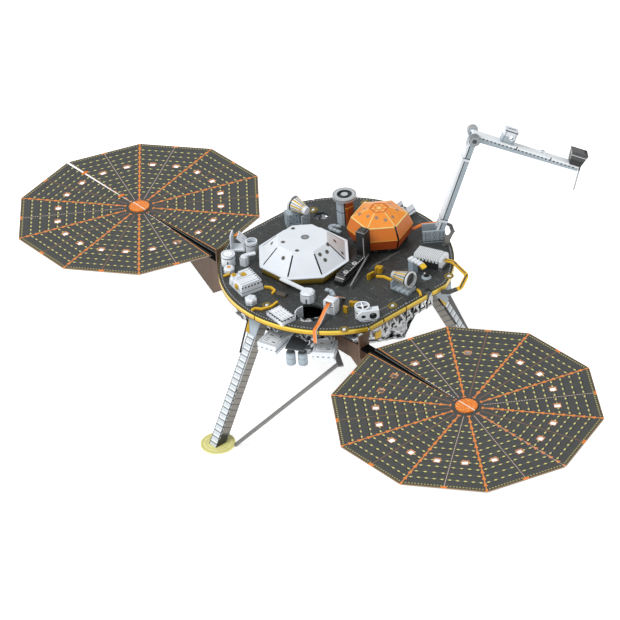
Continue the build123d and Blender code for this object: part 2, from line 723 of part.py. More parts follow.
# Sensor block: drafted box with a stepped recess, and the pod in front of it
BLOCK_PLACE = (-6.6, -18.6)
BLOCK_TURN = -12.0
BLOCK_LENGTH = 5.6
BLOCK_WIDTH = 5.0
BLOCK_HEIGHT = 2.4
BLOCK_RECESS = 0.8
POD_PLACE = (-1.5, -21.7)
with BuildPart() as sensor_block:
    with BuildSketch(on_deck(BLOCK_PLACE, BLOCK_TURN)):
        Rectangle(BLOCK_LENGTH, BLOCK_WIDTH)
    extrude(amount=BLOCK_HEIGHT, taper=6)
    with BuildSketch(on_deck(BLOCK_PLACE, BLOCK_TURN, BLOCK_HEIGHT)):
        with Locations((-BLOCK_LENGTH / 3, -BLOCK_WIDTH / 3)):
            Rectangle(BLOCK_LENGTH / 2, BLOCK_WIDTH / 2)
    extrude(amount=-BLOCK_RECESS, mode=Mode.SUBTRACT)
    with BuildSketch(on_deck(BLOCK_PLACE, BLOCK_TURN, BLOCK_HEIGHT - BLOCK_RECESS)):
        with Locations((-BLOCK_LENGTH / 4, -BLOCK_WIDTH / 4)):
            Rectangle(BLOCK_LENGTH / 4, BLOCK_WIDTH / 5)
    extrude(amount=BLOCK_RECESS)
save(sensor_block, "sensor_block")

with BuildPart() as sensor_pod:
    with BuildSketch(on_deck(POD_PLACE, 30.0)):
        RegularPolygon(1.3, 6)
    extrude(amount=1.4)
    chamfer(sensor_pod.faces().sort_by(Axis.Z)[-1].edges(), SHEET)
save(sensor_pod, "sensor_pod")

# Flat electronics box with a stepped lid
EBOX_PLACE = (6.9, -20.9)
EBOX_TURN = -4.0
EBOX_LENGTH = 5.2
EBOX_WIDTH = 3.4
EBOX_HEIGHT = 1.1
with BuildPart() as electronics_box:
    with BuildSketch(on_deck(EBOX_PLACE, EBOX_TURN)):
        Rectangle(EBOX_LENGTH, EBOX_WIDTH)
    extrude(amount=EBOX_HEIGHT - SHEET / 2)
    with BuildSketch(on_deck(EBOX_PLACE, EBOX_TURN, EBOX_HEIGHT - SHEET / 2)):
        Rectangle(EBOX_LENGTH - 2 * SHEET, EBOX_WIDTH - 2 * SHEET)
    extrude(amount=SHEET / 2)
save(electronics_box, "electronics_box")

# Tether box: flared body and a collar with a tunnel that the orange strap runs through
TUNNEL_FLOOR = TETHER_BODY_HEIGHT + SHEET
TUNNEL_HEIGHT = 0.8
with BuildPart() as tether_box:
    with BuildSketch(on_deck(TETHER_PLACE, TETHER_HEADING)):
        Rectangle(TETHER_LENGTH - SHEET, TETHER_WIDTH - SHEET)
    extrude(amount=TETHER_BODY_HEIGHT, taper=-4)
    with BuildSketch(on_deck(TETHER_PLACE, TETHER_HEADING, TETHER_BODY_HEIGHT)):
        Rectangle(TETHER_LENGTH, TETHER_WIDTH)
    extrude(amount=TETHER_COLLAR_HEIGHT)
    chamfer(tether_box.faces().sort_by(Axis.Z)[-1].edges(), SHEET)
    with BuildSketch(facing(TETHER_PLACE, TETHER_HEADING, TUNNEL_FLOOR)):
        with Locations((0, TUNNEL_HEIGHT / 2)):
            Rectangle(STRAP_WIDTH + 2 * SHEET, TUNNEL_HEIGHT)
    extrude(amount=TETHER_LENGTH, both=True, mode=Mode.SUBTRACT)
save(tether_box, "tether_box")

# The strap's profile runs from the deck through the collar to the rim and hangs over it
STRAP_START = 5.2
STRAP_HANG = 2.9
inward = Vector(*TETHER_PLACE).dot(direction(TETHER_HEADING))
past_rim = DECK_RADIUS + SHEET + STRAP_THICKNESS
to_rim = sqrt(inward**2 - Vector(*TETHER_PLACE).length ** 2 + past_rim**2) - inward
strap_level = TUNNEL_FLOOR + TUNNEL_HEIGHT / 2
strap_low = STRAP_THICKNESS / 2
with BuildPart() as tether_strap:
    with BuildSketch(along_deck(TETHER_PLACE, TETHER_HEADING)):
        with BuildLine():
            FilletPolyline(
                (-STRAP_START, strap_low),
                (-TETHER_LENGTH, strap_level - SHEET),
                (0, strap_level + SHEET / 3),
                (TETHER_LENGTH, strap_level - SHEET),
                (to_rim * 0.72, 2 * SHEET),
                (to_rim, strap_low),
                (to_rim, -STRAP_HANG),
                radius=STRAP_THICKNESS,
            )
        trace(line_width=STRAP_THICKNESS)
    extrude(amount=STRAP_WIDTH / 2, both=True)
save(tether_strap, "tether_strap")

# Ring cluster: a can with two openings in its top, a box, and an upright plate with two eyes
RING_CAN_PLACE = (18.3, -9.1)
RING_CAN_RADIUS = 1.55
RING_CAN_HEIGHT = 2.6
EYE_PLACE = (20.3, -9.3)
EYE_HEADING = -33.0
EYE_SPAN = 2.0
EYE_HEIGHT = 1.2
with BuildPart() as ring_cluster:
    with BuildSketch(on_deck(RING_CAN_PLACE)):
        Circle(RING_CAN_RADIUS)
    extrude(amount=RING_CAN_HEIGHT)
    with BuildSketch(on_deck(RING_CAN_PLACE, EYE_HEADING + 90, RING_CAN_HEIGHT)):
        Circle(RING_CAN_RADIUS - SHEET)
        Rectangle(2 * SHEET, 2 * RING_CAN_RADIUS, mode=Mode.SUBTRACT)
        with Locations((0, -RING_CAN_RADIUS / 2)):
            Rectangle(2 * RING_CAN_RADIUS, RING_CAN_RADIUS, mode=Mode.SUBTRACT)
    extrude(amount=-2 * SHEET, mode=Mode.SUBTRACT)
    with BuildSketch(facing(EYE_PLACE, EYE_HEADING, EYE_HEIGHT)):
        SlotCenterToCenter(EYE_SPAN, 2 * EYE_HEIGHT)
        with Locations((0, -EYE_HEIGHT / 2)):
            Rectangle(EYE_SPAN, EYE_HEIGHT)
        with Locations((-EYE_SPAN / 2, 0)):
            Circle(SHEET, mode=Mode.SUBTRACT)
        with Locations((EYE_SPAN / 2, 0)):
            Circle(2 * SHEET, mode=Mode.SUBTRACT)
    extrude(amount=SHEET, both=True)
    with BuildSketch(on_deck((20.0, -7.4), EYE_HEADING)):
        Rectangle(1.6, 1.8)
    extrude(amount=EYE_HEIGHT * 1.5)
save(ring_cluster, "ring_cluster")

# Latch: post with a level arm and a bent-down tip
LATCH_PLACE = (14.2, 8.5)
LATCH_HEIGHT = 3.2
LATCH_REACH = 2.7
with BuildPart() as latch_bracket:
    with BuildSketch(on_deck(LATCH_PLACE)):
        Rectangle(1.4, 1.3)
    extrude(amount=LATCH_HEIGHT)
    with BuildSketch(along_deck(LATCH_PLACE, 0.0)):
        with BuildLine():
            Polyline(
                (-0.9, LATCH_HEIGHT),
                (LATCH_REACH, LATCH_HEIGHT),
                (LATCH_REACH + 0.9, LATCH_HEIGHT - 0.5),
            )
        trace(line_width=SHEET)
    extrude(amount=0.6, both=True)
save(latch_bracket, "latch_bracket")


def cover_profile(grow):
    """Corners of the ribbed cover's arch, grown outwards by grow."""
    half = COVER_WIDTH / 2 + grow
    crown = COVER_CROWN_WIDTH / 2
    return (
        (-half, 0),
        (-half, COVER_EAVES),
        (-crown, COVER_HEIGHT + grow),
        (crown, COVER_HEIGHT + grow),
        (half, COVER_EAVES),
        (half, 0),
    )


# Ribbed cover: a folded arch with raised ribs along it and a plain end piece
cover_plane = facing(COVER_PLACE, COVER_TURN).offset(-COVER_LENGTH / 2)
rib_pitch = (COVER_LENGTH - COVER_END) / COVER_RIBS
cover_lengths = [(0.0, COVER_LENGTH, 0.0), (COVER_LENGTH - COVER_END, COVER_END, RIB_RISE)]
cover_lengths += [(index * rib_pitch, RIB_WIDTH, RIB_RISE) for index in range(COVER_RIBS)]
with BuildPart() as ribbed_cover:
    for start, length, grow in cover_lengths:
        with BuildSketch(cover_plane.offset(start)):
            with BuildLine():
                Polyline(*cover_profile(grow), close=True)
            make_face()
        extrude(amount=length)
save(ribbed_cover, "ribbed_cover")

# Flat cables that lie on the deck, each as a route at deck level
CABLE_ROUTES = (
    ((-3.6, -16.4), (-2.4, -15.6), (-0.9, -15.8), (-0.6, -16.8)),
    ((2.4, -18.0), (2.8, -19.9), (2.1, -21.9), (0.9, -22.6), (0.9, -23.6)),
    ((-12.2, -18.4), (-12.5, -19.7)),
    ((10.1, 2.0), (11.4, 3.0), (13.4, 3.3)),
    ((DECK_HALF_WIDTH - 2.1, 4.6), (DECK_HALF_WIDTH - 1.1, 4.4), (DECK_HALF_WIDTH - FIT, 3.7)),
)
with BuildPart() as cables:
    for route in CABLE_ROUTES:
        with BuildSketch(on_deck((0, 0))):
            with BuildLine():
                if len(route) > 2:
                    FilletPolyline(*route, radius=WIRE)
                else:
                    Polyline(*route)
            trace(line_width=WIRE)
        extrude(amount=WIRE)
save(cables, "cables")

# Flat double cable from the ribbed cover out past the rim and back under it
cover_end = Vector(*COVER_PLACE) + direction(COVER_TURN) * (COVER_LENGTH / 2 + FIT)
COVER_CABLE_WIDTH = 0.9
with BuildPart() as cover_cable:
    with BuildLine() as loop:
        FilletPolyline(
            (cover_end.X, cover_end.Y, DECK_TOP + 1.7),
            (cover_end.X + 1.6, cover_end.Y + 0.65, DECK_TOP + 1.7),
            (DECK_HALF_WIDTH + 1.6, 15.0, DECK_TOP + 0.4),
            (DECK_HALF_WIDTH + 2.2, 12.6, DECK_TOP - 1.2),
            (DECK_HALF_WIDTH + 1.2, 10.2, DECK_TOP - 1.6),
            (DECK_HALF_WIDTH + SHEET + WIRE, 8.6, DECK_TOP - 0.9),
            radius=0.9,
        )
    with BuildSketch(Plane(origin=loop.line @ 0, z_dir=loop.line % 0)):
        Rectangle(COVER_CABLE_WIDTH, SHEET)
    sweep(transition=Transition.RIGHT)
save(cover_cable, "cover_cable")

# Gold connector blocks on the deck: place, turn, length, width, height
CONNECTORS = (
    ((9.6, 1.0), 92.0, 1.8, 0.5, 1.3),
    ((9.1, 3.7), 30.0, 1.4, 1.2, 1.3),
    ((14.6, -7.6), 35.0, 2.6, 0.8, 0.9),
    ((14.9, -10.6), 20.0, 1.0, 0.5, 1.5),
    ((1.0, -15.8), 20.0, 2.2, 1.2, 0.5),
)
with BuildPart() as connectors:
    for place, turn, length, width, height in CONNECTORS:
        with BuildSketch(on_deck(place, turn)):
            Rectangle(length, width)
        extrude(amount=height)
save(connectors, "connectors")

# White folded bracket at the back rim: a base with two leaning plates
BACK_PLACE = (-3.0, 21.8)
with BuildPart() as back_bracket:
    with BuildSketch(along_deck(BACK_PLACE, 8.0)):
        with BuildLine():
            Polyline((-2.4, 0.8), (-1.5, 2.0), (-0.9, SHEET / 2), (0.9, SHEET / 2), (1.5, 2.3), (2.4, 1.1))
        trace(line_width=SHEET)
    extrude(amount=1.1, both=True)
save(back_bracket, "back_bracket")

# Thermal boxes beside the front leg: face heading, place along the face, reach from it, turn
BOXES = (
    (-90.0, 5.0, 4.4, 17.0),
    (-30.0, -6.9, 3.2, 39.0),
)
with BuildPart() as thermal_boxes:
    for heading, along, out, turn in BOXES:
        spot = by_body(heading, along, out, BOX_TOP - BOX_HEIGHT)
        with BuildSketch(Plane(origin=spot, x_dir=direction(turn))):
            Rectangle(BOX_LENGTH, BOX_WIDTH)
        extrude(amount=BOX_HEIGHT)
        neck = by_body(heading, along, out / 2, BOX_TOP - BOX_HEIGHT)
        with BuildSketch(Plane(origin=neck, x_dir=direction(heading))):
            Rectangle(out, BOX_NECK)
        extrude(amount=BOX_HEIGHT - SHEET)
save(thermal_boxes, "thermal_boxes")

# Nozzles in pairs under a plate at three of the body's corners: place out from the corner and across
NOZZLE_CORNERS = (-60.0, 60.0, 180.0)
NOZZLE_PLACES = ((2.0, -2.7), (1.5, -0.3))
NOZZLE_PLATE = ((-1.2, 3.1), (-3.4, 0.6))
# Neck, shoulder and barrel of a nozzle: radius at the top and the bottom, and length
NOZZLE_LENGTHS = (
    (NOZZLE_NECK_RADIUS, NOZZLE_NECK_RADIUS, NOZZLE_NECK_LENGTH),
    (NOZZLE_NECK_RADIUS, NOZZLE_RADIUS, NOZZLE_SHOULDER_LENGTH),
    (NOZZLE_RADIUS, NOZZLE_RADIUS, NOZZLE_BARREL_LENGTH),
)
nozzle_top = DECK_TOP - NOZZLE_TOP_DROP
with BuildPart() as nozzles:
    for corner in NOZZLE_CORNERS:
        (plate_in, plate_out), (plate_low, plate_high) = NOZZLE_PLATE
        with BuildSketch(Plane(origin=(0, 0, nozzle_top), x_dir=direction(corner))):
            with Locations((BODY_RADIUS + (plate_in + plate_out) / 2, (plate_low + plate_high) / 2)):
                Rectangle(plate_out - plate_in, plate_high - plate_low)
            RegularPolygon(BODY_RADIUS, BODY_SIDES, mode=Mode.SUBTRACT)
        extrude(amount=SHEET)
        for out, across in NOZZLE_PLACES:
            centre = direction(corner) * (BODY_RADIUS + out) + direction(corner + 90) * across
            level = nozzle_top
            for high_radius, low_radius, length in NOZZLE_LENGTHS:
                level -= length
                with BuildSketch(Plane(origin=centre + Vector(0, 0, level))):
                    RegularPolygon(low_radius, NOZZLE_SIDES)
                extrude(amount=length, taper=draft(low_radius, high_radius, length, NOZZLE_SIDES))
save(nozzles, "nozzles")

# Pipework under the right rim: a zigzag on a level rail, hung from the deck
pipe_plane = Plane(origin=(BODY_RADIUS + SHEET, 0, DECK_TOP), x_dir=(0, 1, 0), z_dir=(1, 0, 0))
pipe_pitch = 2 * PIPE_HALF_RUN / PIPE_ZIGZAGS
zigzag = [(-PIPE_HALF_RUN, -DECK_THICKNESS)]
for index in range(PIPE_ZIGZAGS):
    zigzag.append((-PIPE_HALF_RUN + (index + 0.25) * pipe_pitch, -PIPE_LOW_DROP))
    zigzag.append((-PIPE_HALF_RUN + (index + 0.75) * pipe_pitch, -PIPE_TOP_DROP))
zigzag.append((PIPE_HALF_RUN, -PIPE_LOW_DROP))
with BuildPart() as pipework:
    with BuildSketch(pipe_plane):
        with BuildLine():
            Polyline(*zigzag)
        trace(line_width=WIRE)
        with Locations((0, -PIPE_LOW_DROP)):
            Rectangle(2 * PIPE_HALF_RUN, WIRE)
        with Locations((PIPE_HALF_RUN, -(DECK_THICKNESS + PIPE_LOW_DROP) / 2)):
            Rectangle(WIRE, PIPE_LOW_DROP - DECK_THICKNESS)
        with Locations((0, -DECK_THICKNESS / 2)):
            Rectangle(4 * PIPE_HALF_RUN, DECK_THICKNESS, mode=Mode.SUBTRACT)
    extrude(amount=WIRE)
save(pipework, "pipework")

# Arm, drawn in its own upright plane
arm_plane = along_deck(SHOULDER_PLACE, ARM_HEADING, SHOULDER_HEIGHT)
lean = radians(UPPER_LEAN)
elbow = (UPPER_LENGTH * sin(lean), UPPER_LENGTH * cos(lean))
with BuildPart() as arm_base:
    for offset in (BASE_IN, -BASE_OUT):
        with BuildSketch(arm_plane.offset(offset)):
            with Locations(((BASE_FRONT - BASE_BACK) / 2, (BASE_RISE - SHOULDER_HEIGHT) / 2)):
                Rectangle(BASE_FRONT + BASE_BACK, BASE_RISE + SHOULDER_HEIGHT)
        extrude(amount=SHEET)
    with BuildSketch(arm_plane):
        with Locations(((BASE_FRONT - BASE_BACK) / 2, SHEET / 2 - SHOULDER_HEIGHT)):
            Rectangle(BASE_FRONT + BASE_BACK, SHEET)
    extrude(amount=BASE_OUT, both=True)
    with BuildSketch(arm_plane):
        Circle(PIN_RADIUS)
    extrude(amount=BASE_OUT, both=True)
save(arm_base, "arm_base")

# Upper arm: two cheeks with round ends, a web along the back and two raised bands
upper_turn = 90 - UPPER_LEAN
with BuildPart() as upper_arm:
    for offset in (UPPER_IN, -UPPER_OUT):
        with BuildSketch(arm_plane.offset(offset)):
            with Locations((elbow[0] / 2, elbow[1] / 2)):
                SlotCenterToCenter(UPPER_LENGTH, UPPER_WIDTH, rotation=upper_turn)
            with Locations((0, 0), elbow):
                Circle(PIN_RADIUS + FIT, mode=Mode.SUBTRACT)
        extrude(amount=SHEET)
    back = (UPPER_WIDTH - SHEET) / 2
    with BuildSketch(arm_plane):
        with Locations((elbow[0] / 2 - back * cos(lean), elbow[1] / 2 + back * sin(lean))):
            Rectangle(UPPER_LENGTH - 2 * WEB_INSET, SHEET, rotation=upper_turn)
    extrude(amount=UPPER_IN, both=True)
    for along in BAND_PLACES:
        for offset in (UPPER_OUT, -UPPER_OUT - BAND_RISE):
            with BuildSketch(arm_plane.offset(offset)):
                with Locations((along * sin(lean), along * cos(lean))):
                    Rectangle(BAND_WIDTH, UPPER_WIDTH, rotation=upper_turn)
            extrude(amount=BAND_RISE)
save(upper_arm, "upper_arm")

# Elbow drums on the pin, one each side
elbow_pin = arm_plane.from_local_coords(Vector(*elbow, 0))
elbow_plane = Plane(origin=elbow_pin, x_dir=arm_plane.x_dir, z_dir=arm_plane.z_dir)
with BuildPart() as elbow_drums:
    for low in (UPPER_OUT, -UPPER_OUT - DRUM_LENGTH):
        with BuildSketch(elbow_plane.offset(low)):
            Circle(DRUM_RADIUS)
        extrude(amount=DRUM_LENGTH)
    with BuildSketch(elbow_plane):
        Circle(PIN_RADIUS)
    extrude(amount=UPPER_OUT, both=True)
save(elbow_drums, "elbow_drums")

# Forearm: a tapered channel, open below, that turns on the elbow's pin
slope = radians(FOREARM_SLOPE)
forearm_plane = Plane(
    origin=elbow_plane.origin,
    x_dir=direction(ARM_HEADING) * cos(slope) + Vector(0, 0, sin(slope)),
    z_dir=arm_plane.z_dir,
)
forearm_root = FOREARM_ROOT_DEPTH / 2
forearm_tip = FOREARM_TIP_DEPTH / 2


def forearm_top(along):
    """Height of the forearm's upper face at a distance along it."""
    return forearm_root + (forearm_tip - forearm_root) * along / FOREARM_LENGTH


with BuildPart() as forearm:
    with BuildSketch(forearm_plane):
        with BuildLine():
            Polyline(
                (0, forearm_root),
                (FOREARM_LENGTH, forearm_tip),
                (FOREARM_LENGTH, -forearm_tip),
                (0, -forearm_root),
                close=True,
            )
        make_face()
        Circle(forearm_root)
    extrude(amount=FOREARM_HALF, both=True)
    with BuildSketch(forearm_plane):
        with BuildLine():
            Polyline(
                (-forearm_root, forearm_root - SHEET),
                (FOREARM_LENGTH - SHEET, forearm_tip - SHEET),
                (FOREARM_LENGTH - SHEET, -forearm_root),
                (-forearm_root, -forearm_root),
                close=True,
            )
        make_face()
    extrude(amount=FOREARM_HALF - SHEET, both=True, mode=Mode.SUBTRACT)
    with BuildSketch(forearm_plane):
        Circle(PIN_RADIUS + FIT)
    extrude(amount=FOREARM_HALF, both=True, mode=Mode.SUBTRACT)
    with BuildSketch(forearm_plane):
        with Locations((HOOP_ALONG, forearm_top(HOOP_ALONG))):
            Circle(HOOP_RADIUS)
            Circle(HOOP_RADIUS - SHEET, mode=Mode.SUBTRACT)
            with Locations((0, -HOOP_RADIUS)):
                Rectangle(2 * HOOP_RADIUS, 2 * HOOP_RADIUS, mode=Mode.SUBTRACT)
    extrude(amount=SHEET / 2, both=True)
save(forearm, "forearm")

# Arm camera: a folded frame, open at both ends, with the lens hole in its front cheek
camera_low = forearm_top(CAMERA_ALONG - CAMERA_LENGTH / 2) + FIT
with BuildPart() as arm_camera:
    with BuildSketch(forearm_plane):
        with Locations((CAMERA_ALONG, camera_low + CAMERA_HEIGHT / 2)):
            Rectangle(CAMERA_LENGTH, CAMERA_HEIGHT)
            Rectangle(CAMERA_LENGTH - 2 * SHEET, CAMERA_HEIGHT - 2 * SHEET, mode=Mode.SUBTRACT)
    extrude(amount=FOREARM_HALF, both=True)
    with BuildSketch(forearm_plane.offset(FOREARM_HALF - SHEET)):
        with Locations((CAMERA_ALONG, camera_low + CAMERA_HEIGHT / 2)):
            Rectangle(CAMERA_LENGTH, CAMERA_HEIGHT)
            with Locations((CAMERA_LENGTH / 6, 0)):
                Circle(LENS_RADIUS, mode=Mode.SUBTRACT)
    extrude(amount=SHEET)
save(arm_camera, "arm_camera")

# Scoop: a flaring bucket on the forearm's tip, with the grapple rod that hangs beside it
scoop_low = forearm_top(SCOOP_ALONG) + FIT
flare = SCOOP_MOUTH_LENGTH - SCOOP_FOOT_LENGTH
with BuildPart() as scoop:
    with BuildSketch(forearm_plane):
        with BuildLine():
            Polyline(
                (SCOOP_ALONG + flare, scoop_low),
                (SCOOP_ALONG + flare + SCOOP_FOOT_LENGTH, scoop_low),
                (SCOOP_ALONG + SCOOP_MOUTH_LENGTH + flare / 2, scoop_low + SCOOP_DEPTH),
                (SCOOP_ALONG + flare / 2, scoop_low + SCOOP_DEPTH),
                close=True,
            )
        make_face()
    extrude(amount=SCOOP_HALF, both=True)
    rod_top = Vector(FOREARM_LENGTH + SHEET, scoop_low)
    rod_turn = -90 - FOREARM_SLOPE - ROD_LEAN
    with BuildSketch(forearm_plane):
        with BuildLine():
            Polyline(
                (FOREARM_LENGTH - SHEET, scoop_low + SHEET / 2),
                (rod_top.X, rod_top.Y + SHEET / 2),
                rod_top + Vector(cos(radians(rod_turn)), sin(radians(rod_turn))) * ROD_LENGTH,
            )
        trace(line_width=SHEET)
    extrude(amount=SHEET / 2, both=True)
save(scoop, "scoop")
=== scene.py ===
"""Dress the sheet-metal lander model: printed and enamelled sheet, etched marks and small fittings.

Places are in millimetres in the part's own frame and turn to metres where a mesh is made.
"""
import logging
from collections.abc import Sequence
from dataclasses import dataclass
from enum import Enum
from functools import partial
from math import cos, pi, radians, sin, tan

import bpy
import numpy as np
from mathutils import Matrix, Vector


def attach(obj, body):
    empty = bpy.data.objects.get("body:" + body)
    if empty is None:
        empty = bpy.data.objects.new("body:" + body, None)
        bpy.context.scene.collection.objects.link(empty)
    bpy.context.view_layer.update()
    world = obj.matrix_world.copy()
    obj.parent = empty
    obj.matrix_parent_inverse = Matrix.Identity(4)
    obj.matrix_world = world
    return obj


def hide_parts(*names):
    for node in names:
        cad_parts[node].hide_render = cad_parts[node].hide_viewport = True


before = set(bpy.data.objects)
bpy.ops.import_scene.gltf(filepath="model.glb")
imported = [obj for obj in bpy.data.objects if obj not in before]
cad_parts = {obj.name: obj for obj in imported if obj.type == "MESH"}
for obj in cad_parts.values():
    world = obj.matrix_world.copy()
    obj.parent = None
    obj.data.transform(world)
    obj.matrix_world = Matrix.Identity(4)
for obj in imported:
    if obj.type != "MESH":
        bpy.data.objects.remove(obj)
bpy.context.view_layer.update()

MM = 0.001
FAR = 1000.0
IMAGE_SIDE = 620
DECK_TOP = 28.2
DECK_RADIUS = 24.0
DECK_HALF_WIDTH = 21.7
UP = (0.0, 0.0, 1.0)
LOG = logging.getLogger("lander")
Vec = Sequence[float] | np.ndarray
Span = tuple[float, ...]
Socket = bpy.types.NodeSocket
Tree = bpy.types.NodeTree
Material = bpy.types.Material
Surface = tuple[np.ndarray, list]
Limit = tuple[Socket, float, float]


def linear(code: str) -> tuple[float, float, float, float]:
    """Turn an sRGB hex colour into linear RGBA.

    Args:
        code: Six hex digits after a hash sign.

    Returns:
        Red, green, blue and alpha for a shader socket.
    """
    raw = np.array([int(code[i : i + 2], 16) for i in (1, 3, 5)]) / 255
    bright = np.where(raw <= 0.04045, raw / 12.92, ((raw + 0.055) / 1.055) ** 2.4)
    return (*bright.tolist(), 1.0)


def node(tree: Tree, kind: str, links: Sequence | dict = (), **settings: object) -> Socket:
    """Add one shader node with its settings and links.

    Args:
        tree: The material's node tree.
        kind: The node's class name after "ShaderNode", with its operation after a dot if it has one.
        links: Values or sockets for its inputs, in order or by name.
        settings: Other properties of the node.

    Returns:
        The node's first output in use.
    """
    kind, _, operation = kind.partition(".")
    made = tree.nodes.new("ShaderNode" + kind)
    if operation:
        made.operation = operation
    for key, value in settings.items():
        setattr(made, key, value)
    shown = [socket for socket in made.inputs if socket.enabled]
    for key, value in links.items() if isinstance(links, dict) else enumerate(links):
        socket = made.inputs[key] if isinstance(key, str) else shown[key]
        if isinstance(value, Socket):
            tree.links.new(value, socket)
        else:
            socket.default_value = value
    return next(socket for socket in made.outputs if socket.enabled)


def heading(degrees: float, length: float = 1.0) -> np.ndarray:
    """Level vector along a heading in degrees from +X towards +Y."""
    return length * np.array([cos(radians(degrees)), sin(radians(degrees)), 0.0])


@dataclass(frozen=True)
class Spot:
    """A place on the model with its own axes, for a pattern or a row of pieces."""

    place: Vec
    along: Vec = (1.0, 0.0, 0.0)
    up: Vec = UP

    def axes(self) -> np.ndarray:
        """Rows: unit x along, y across and z up, square to each other."""
        x = np.array(self.along, float) / np.linalg.norm(self.along)
        z = np.array(self.up, float)
        z -= x * (z @ x)
        z /= np.linalg.norm(z)
        return np.array([x, np.cross(z, x), z])

    def world(self, local: Sequence) -> np.ndarray:
        """Points in part coordinates from points in the spot's own axes."""
        return np.asarray(local, float) @ self.axes() + np.array(self.place)

    def point(self, tree: Tree) -> Socket:
        """Socket with the point in the spot's own axes, in millimetres, from Object coordinates."""
        links = {
            "Vector": node(tree, "TexCoord").node.outputs["Object"],
            "Location": [float(v) * MM for v in self.place],
            "Rotation": Matrix(self.axes().tolist()).transposed().to_euler(),
            "Scale": (MM, MM, MM),
        }
        return node(tree, "Mapping", links, vector_type="TEXTURE")


WHOLE = Spot((0.0, 0.0, 0.0))


def on_deck(x: float = 0.0, y: float = 0.0, turn: float = 0.0, height: float = 0.0) -> Spot:
    """Spot on the deck's top with its x axis along a heading."""
    return Spot((x, y, DECK_TOP + height), heading(turn))


class Outline(Enum):
    """How a printed mark is bounded."""

    BOX = "box"
    OVAL = "oval"


@dataclass(frozen=True)
class Mark:
    """Printed, etched or cut marks, without bounds along an axis that isn't given.

    Along an axis come the centre, the half size and, for repeated marks, the pitch and how far they reach.
    """

    colour: str
    x: Span = ()
    y: Span = ()
    z: Span = ()
    outline: Outline = Outline.BOX

    def table(self) -> list[list[float]]:
        """Rows of centres, half sizes, pitches and reaches, each along the three axes."""
        unbounded = (0.0, FAR, FAR, FAR)
        spans = [[*span, *unbounded[len(span) :]] for span in (self.x, self.y, self.z)]
        return np.array(spans, float).T.tolist()


def oval(colour: str, centre: Vec, *half: float) -> Mark:
    """A single oval mark, or a round one where one half size is given."""
    return Mark(colour, *zip(centre, half * 3 if len(half) == 1 else half), outline=Outline.OVAL)


@dataclass
class Face:
    """A printed face in the making: its material and the colour laid so far."""

    material: Material
    colour: Socket

    def ink(self, colour: str, *limits: Limit, cover: float = 1.0) -> None:
        """Lay an ink where every measure lies between its limits.

        Args:
            colour: The ink.
            limits: Measures, each with its low and its high limit.
            cover: Share of the ground that the ink hides.
        """
        add = partial(node, self.material.node_tree)
        mask = cover
        for measure, low, high in limits:
            inside = add("Math.COMPARE", (measure, (low + high) / 2, (high - low) / 2))
            mask = add("Math.MULTIPLY", (inside, mask))
        self.colour = add("Mix", (mask, self.colour, linear(colour)), data_type="RGBA")

    def stamp(self, spot: Spot, *marks: Mark) -> None:
        """Lay marks that are given in a spot's axes.

        Args:
            spot: The axes.
            marks: The marks, lowest first.
        """
        add = partial(node, self.material.node_tree)
        point = spot.point(self.material.node_tree)
        for mark in marks:
            centre, half, pitch, reach = mark.table()
            offset = add("VectorMath.SUBTRACT", (point, centre))
            within = add("VectorMath.WRAP", (offset, [p / 2 for p in pitch], [-p / 2 for p in pitch]))
            if mark.outline is Outline.OVAL:
                share = add("VectorMath.DIVIDE", (within, half))
                limits = [(add("VectorMath.LENGTH", (share,)).node.outputs["Value"], -1.0, 1.0)]
            else:
                sides = add("SeparateXYZ", (within,)).node.outputs
                limits = [(side, -h, h) for side, h in zip(sides, half) if h < FAR]
            field = add("SeparateXYZ", (offset,)).node.outputs
            limits += [(side, -r, r) for side, r in zip(field, reach) if r < FAR]
            self.ink(mark.colour, *limits)

    def done(self) -> Material:
        """Link the colour to the shader and hand over the material."""
        tree = self.material.node_tree
        tree.links.new(self.colour, tree.nodes["Principled BSDF"].inputs["Base Color"])
        return self.material


